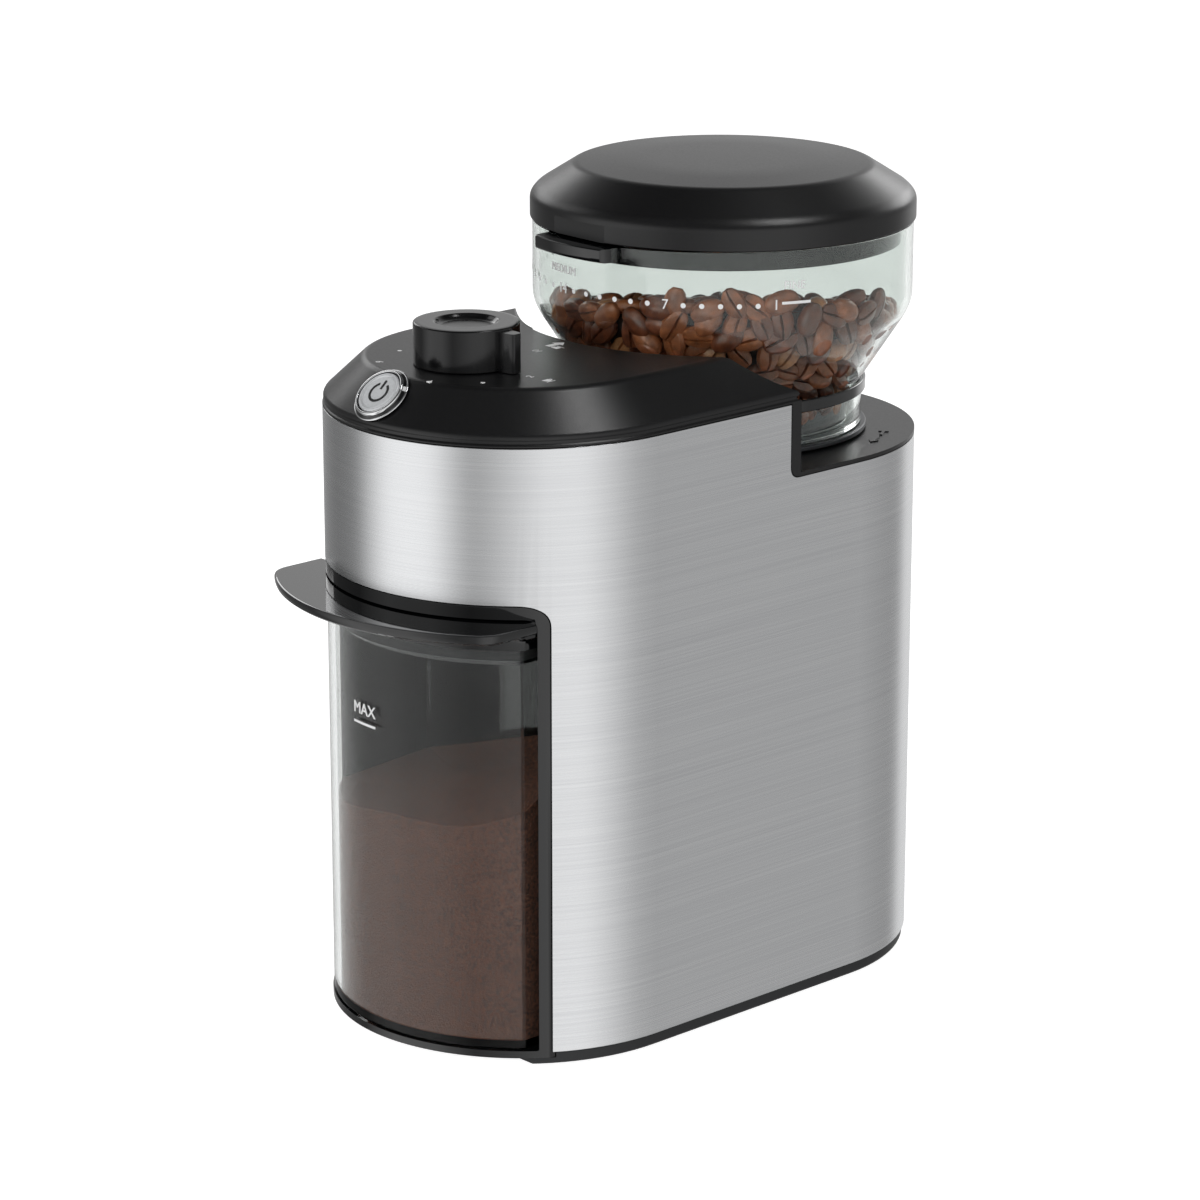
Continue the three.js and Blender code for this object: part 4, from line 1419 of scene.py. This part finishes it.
@dataclass
class Container:
    """The clear container with its handle lid, seal, mark and ground coffee."""

    r: float = 62.5
    half: float = 46.6
    wall: float = 2.2
    floor: float = 2.4
    plate_r: float = 79.3
    plate_half: float = 52.3
    plate_ease: float = 10.0
    plate_z: float = 144.2               # underside of the handle plate
    skirt_half: float = 49.2             # half width of the lid behind its handle

    def plan(self, inset: float, corner: float = 3.0) -> Outline:
        """Returns the container's plan: a round front, straight sides and a flat back.

        Args:
            inset: How far inside the cup's outer face it lies.
            corner: Rounding of its back corners.

        Returns:
            The plan's points.
        """
        r, half = self.r - inset, self.half - inset
        turn = math.asin(half / r)
        back = CUP_BACK_Y - inset
        points: Profile = [(half, back, corner), (-half, back, corner)]
        steps = 48
        for k in range(steps + 1):
            t = -math.pi / 2 - turn + 2 * turn * k / steps
            points.append((r * math.cos(t), FRONT_Y + r * math.sin(t)))
        return eased(points, 6)

    def cup(self) -> bpy.types.Object:
        """Returns the clear cup with a thick floor and an eased rim."""
        lo, hi = Span.of("container").lo.z, Span.of("container").hi.z
        w, f = self.wall, self.floor
        levels = [(1.0, lo), (0.3, lo + 0.3), (0.0, lo + 1.0), (0.0, hi - 0.4), (0.4, hi), (w - 0.4, hi),
                  (w, hi - 0.4), (w, lo + f + 1.0), (w + 0.3, lo + f + 0.3), (w + 1.0, lo + f)]
        return paint(stacked("cup_clear", self.plan, levels), CUP_CLEAR)

    def plate_outline(self, shrink: float) -> Outline:
        """Returns the handle plate's plan: a wide round front with eased corners.

        Args:
            shrink: How far inside the plate's edge it lies.

        Returns:
            The plan's points.
        """
        ease, r = self.plate_ease, self.plate_r
        x = self.plate_half - ease
        y = -math.sqrt((r - ease) ** 2 - x ** 2)
        turn = math.atan2(-y, x)
        points = [(-self.plate_half + shrink, CUP_BACK_Y)]
        for k in range(13):
            t = -math.pi + turn * k / 12
            points.append((-x + (ease - shrink) * math.cos(t), FRONT_Y + y + (ease - shrink) * math.sin(t)))
        for k in range(1, 40):
            t = turn - math.pi + (math.pi - 2 * turn) * k / 40
            points.append(((r - shrink) * math.cos(t), FRONT_Y + (r - shrink) * math.sin(t)))
        for k in range(13):
            t = -turn + turn * k / 12
            points.append((x + (ease - shrink) * math.cos(t), FRONT_Y + y + (ease - shrink) * math.sin(t)))
        points.append((self.plate_half - shrink, CUP_BACK_Y))
        return points

    def lid(self) -> bpy.types.Object:
        """Returns the gloss lid: the handle plate, the sloping underside and the plug in the cup."""
        z0, z1, half = self.plate_z, LID_PLATE.hi.z, self.skirt_half
        levels = [(3.0, z0), (1.2, z0 + 0.15), (0.25, z0 + 0.9), (0.0, z0 + 1.7), (0.0, z1 - 0.9),
                  (0.3, z1 - 0.25), (1.0, z1)]
        plate = stacked("container_lid_gloss", self.plate_outline, levels)
        for x in ((-80, -half), (half, 80)):
            combine(plate, block("side", x, (FRONT_Y - 41, 0), (100, 200)))
        foot, sweep = Span.of("container").hi.z + GAP, []
        for k in range(9):
            t = k / 8
            grow = -1.2 - 4.2 * t ** 2.2
            sweep.append((grow, foot + (z0 + 0.4 - foot) * t ** 0.75))
        collar = stacked("collar", self.plan, sweep)
        combine(collar, block("cut", (-half, half), (-140, CUP_BACK_Y), (100, 200)), "INTERSECT")
        combine(plate, collar, "UNION")
        inset = self.wall + 2.4
        combine(plate, stacked("plug", self.plan, [(inset, LID_PLATE.lo.z), (inset, 141)]), "UNION")
        combine(plate, stacked("cavity", self.plan, [(inset + 2, 120), (inset + 2, z0)]))
        combine(plate, block("inlet", (-14, 14), (-60, -46), (100, 200)))
        soften(plate, 0.3)
        return paint(plate, ABS_GLOSS)

    def grounds(self) -> bpy.types.Object:
        """Returns the ground coffee, heaped higher at the right of the cup."""
        inset = self.wall + 0.25
        floor = Span.of("container").lo.z + self.floor + 0.15
        outline = self.plan(inset, 1.0)
        rings = [[Vector((x, y, floor)) for x, y in outline]]
        middle = Vector((0, FRONT_Y - 28))
        for share in (1.0, 0.985, 0.85, 0.65, 0.45, 0.25, 0.1):
            ring = []
            for x, y in outline:
                at = middle + (Vector((x, y)) - middle) * share
                ring.append(Vector((at.x, at.y, self.heap(at.x, at.y) - (0.4 if share == 1.0 else 0))))
            rings.append(ring)
        return paint(loft("coffee_grounds", rings), GROUNDS)

    def heap(self, x: float, y: float) -> float:
        """Returns the height of the grounds over a place: lowest at the left, piled up at the back right."""
        right, deep = (x + self.half) / (2 * self.half), (y - FRONT_Y + self.r) / self.r
        wave = 0.8 * math.sin(x * 0.11 + 1) + 0.6 * math.sin(y * 0.17 + x * 0.05)
        return 74.0 + 8.0 * right + (2.0 + 24.0 * right) * deep ** 2 + wave

    def mark(self) -> bpy.types.Object:
        """Returns the fill mark on the front of the cup."""
        stamp = Print()
        bearing = -5.0
        word = stamp.wrap(stamp.flat("fill_word", "MAX", 5.4), self.r, FRONT_Y, bearing, 111.6)
        line = stamp.wrap(stamp.bar("fill_line", 11.5, 0.8), self.r, FRONT_Y, bearing, 107.0)
        return join("fill_mark", [word, line])

    def build(self) -> None:
        """Builds and delivers the container's pieces."""
        deliver(self.cup(), "bin", ("container",))
        deliver(self.lid(), "bin", ("container_lid",))
        deliver(self.grounds(), "bin")
        deliver(self.mark(), "bin")


# ---------------------------------------------------------------- inner works, light and camera


INNER = {
    NYLON_BLACK: ("chassis", "gearbox_case", "burr_chamber", "grounds_chute", "burr_carrier", "power_switch",
                  "hopper_switch"),
    RUBBER: ("cord_gland", "motor_boot", "shaft_seal", "container_seal"),
    NYLON_WHITE: ("motor_end_cap", "compound_gear", "output_gear", "impeller"),
    ZINC: ("base_screw_1", "base_screw_2", "base_screw_3", "base_screw_4", "motor_can", "layshaft",
           "burr_shaft", "burr_nut", "dose_pot", "heat_sink"),
    LAMINATIONS: ("armature",),
    BURR_STEEL: ("cone_burr", "ring_burr"),
    BRONZE: ("motor_pinion", "output_bush"),
    FERRITE: ("magnet_left", "magnet_right", "transformer"),
    BOARD: ("control_board",),
    CAN_SLEEVE: ("capacitor",),
}


def dress_inner_works() -> None:
    """Gives each CAD node that stays its own finish."""
    for finish, nodes in INNER.items():
        for node in nodes:
            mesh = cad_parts[node].data
            mesh.materials.clear()
            mesh.materials.append(finish.make())
        LOG.info("%s on %d inner pieces", finish.name, len(nodes))


@dataclass
class Studio:
    """A light tent around the object, whose bright and dark stretches shape the steel, and the camera."""

    azimuth: float = 46.91
    elevation: float = 16.31
    distance: float = 1.3978
    target: tuple[float, float, float] = (0.0, -0.0031, 0.12955)
    lens: float = 128.16
    # The tent's brightness by bearing, 0 in front and 90 at the right: two soft boxes and a back light.
    tent: tuple[tuple[float, float], ...] = (
        (-180, 0.4), (-170, 0.85), (-135, 0.75), (-112, 0.3), (-88, 0.18), (-62, 0.22), (-36, 1.1), (-6, 1.1),
        (18, 0.38), (60, 0.95), (84, 1.0), (118, 0.48), (150, 0.39), (174, 0.32), (180, 0.4))
    roof: float = 0.12                   # brightness overhead, as a share of the walls'
    aim: float = 0.13                    # height that the light panels face, in metres
    floor_half: float = 4000.0

    def camera(self) -> None:
        """Makes the camera at the object's front right."""
        data = bpy.data.cameras.new("camera")
        data.sensor_width = 36.0
        data.lens = self.lens
        data.clip_start, data.clip_end = 0.01, 30.0
        made = stand("camera", data)
        a, e = math.radians(self.azimuth), math.radians(self.elevation)
        back = Vector((math.sin(a) * math.cos(e), -math.cos(a) * math.cos(e), math.sin(e)))
        made.location = Vector(self.target) + back * self.distance
        made.rotation_mode = "QUATERNION"
        made.rotation_quaternion = (-back).to_track_quat("-Z", "Y")
        bpy.context.scene.camera = made

    @staticmethod
    def looked_at(tree: bpy.types.NodeTree) -> bpy.types.NodeSocket:
        """Returns 1 where the camera sees a thing, straight or through clear plastic, and 0 elsewhere."""
        path = add_node(tree, "ShaderNodeLightPath").outputs
        return add_node(tree, "ShaderNodeMath", {"operation": "MAXIMUM"}, {
            0: path["Is Camera Ray"], 1: path["Is Transmission Ray"]}).outputs["Value"]

    def floor(self) -> None:
        """Makes the white floor, which the steel doesn't mirror."""
        half = self.floor_half
        corners = [Vector((x * half, y * half, 0)) for x, y in ((-1, -1), (1, -1), (1, 1), (-1, 1))]
        made = mesh_object("floor", corners, [(0, 1, 2, 3)])
        material, tree, shader = begun("floor_white")
        shader.inputs["Base Color"].default_value = (0.55, 0.55, 0.55, 1)
        shader.inputs["Roughness"].default_value = 0.9
        shader.inputs["Emission Color"].default_value = (1, 1, 1, 1)
        glow = add_node(tree, "ShaderNodeMapRange", {"To Min": 0.05, "To Max": 0.93},
                        {"Value": self.looked_at(tree)})
        tree.links.new(glow.outputs["Result"], shader.inputs["Emission Strength"])
        made.data.materials.append(material)
        made.visible_glossy = False

    def panel(self, name: str, azimuth: float, distance: float, height: float, size: tuple[float, float],
              power: float, mirrored: bool = True) -> None:
        """Makes a soft light panel that faces the object.

        Args:
            name: The light's name.
            azimuth: Its bearing, 0 in front and 90 at the right.
            distance: How far it stands, in metres.
            height: Its height, in metres.
            size: Width and height, in metres.
            power: Watts.
            mirrored: False for a fill that no shiny surface shows.
        """
        data = bpy.data.lights.new(name, "AREA")
        data.shape = "RECTANGLE"
        data.size, data.size_y = size
        data.energy = power
        made = stand(name, data)
        a = math.radians(azimuth)
        made.location = (distance * math.sin(a), -distance * math.cos(a), height)
        toward = Vector((0, 0, self.aim)) - made.location
        made.rotation_euler = toward.to_track_quat("-Z", "Y").to_euler()
        made.visible_camera = False
        made.visible_glossy = mirrored

    def world(self) -> None:
        """Makes the surroundings: white to the eye, and the tent to everything that they light."""
        world = bpy.data.worlds.new("surroundings")
        bpy.context.scene.world = world
        world.use_nodes = True
        tree = world.node_tree
        tree.nodes.clear()
        way = add_node(tree, "ShaderNodeSeparateXYZ",
                       links={"Vector": add_node(tree, "ShaderNodeTexCoord").outputs["Generated"]}).outputs
        front = add_node(tree, "ShaderNodeMath", {"operation": "MULTIPLY", 1: -1.0}, {0: way["Y"]})
        bearing = add_node(tree, "ShaderNodeMath", {"operation": "ARCTAN2"},
                           {0: way["X"], 1: front.outputs["Value"]})
        around = add_node(tree, "ShaderNodeMapRange", {"From Min": -math.pi, "From Max": math.pi},
                          {"Value": bearing.outputs["Value"]})
        walls = add_node(tree, "ShaderNodeValToRGB", links={"Fac": around.outputs["Result"]})
        ramp = walls.color_ramp
        while len(ramp.elements) < len(self.tent):
            ramp.elements.new(0.5)
        for stop, (turn, level) in zip(ramp.elements, self.tent):
            stop.position = (turn + 180) / 360
            stop.color = (level, level, level, 1)
        up = add_node(tree, "ShaderNodeMapRange",
                      {"From Min": 0.4, "From Max": 0.7, "To Min": 1.0, "To Max": self.roof},
                      {"Value": way["Z"]})
        lit = add_node(tree, "ShaderNodeBackground",
                       links={"Color": walls.outputs["Color"], "Strength": up.outputs["Result"]})
        seen = add_node(tree, "ShaderNodeBackground", {"Color": (1, 1, 1, 1), "Strength": 1.0})
        mixed = add_node(tree, "ShaderNodeMixShader", links={
            "Fac": self.looked_at(tree), 1: lit.outputs[0], 2: seen.outputs[0]})
        add_node(tree, "ShaderNodeOutputWorld", links={"Surface": mixed.outputs[0]})

    def build(self) -> None:
        """Sets up camera, floor, lights and surroundings."""
        self.camera()
        self.floor()
        self.world()
        self.panel("over_right", 118, 0.48, 1.3, (0.32, 0.32), 2.6)
        self.panel("rim_left", -105, 1.1, 0.62, (0.5, 0.3), 1.0)
        self.panel("rim_back", 190, 1.2, 0.6, (0.6, 0.35), 2.0)
        self.panel("high_left", -80, 1.0, 0.95, (0.35, 0.35), 0.35)
        self.panel("high_front", 15, 0.9, 1.4, (0.9, 0.8), 5, mirrored=False)
        self.panel("fill", 20, 1.1, 0.5, (0.8, 0.8), 4.5, mirrored=False)
        bpy.context.scene.view_settings.view_transform = "Standard"


def main() -> None:
    """Builds the grinder and its studio."""
    logging.basicConfig(level=logging.INFO, format="%(message)s")
    Studio().build()
    dress_inner_works()
    Housing().build()
    Controls().build()
    Hopper().build()
    Container().build()


if __name__ == "__main__":
    main()
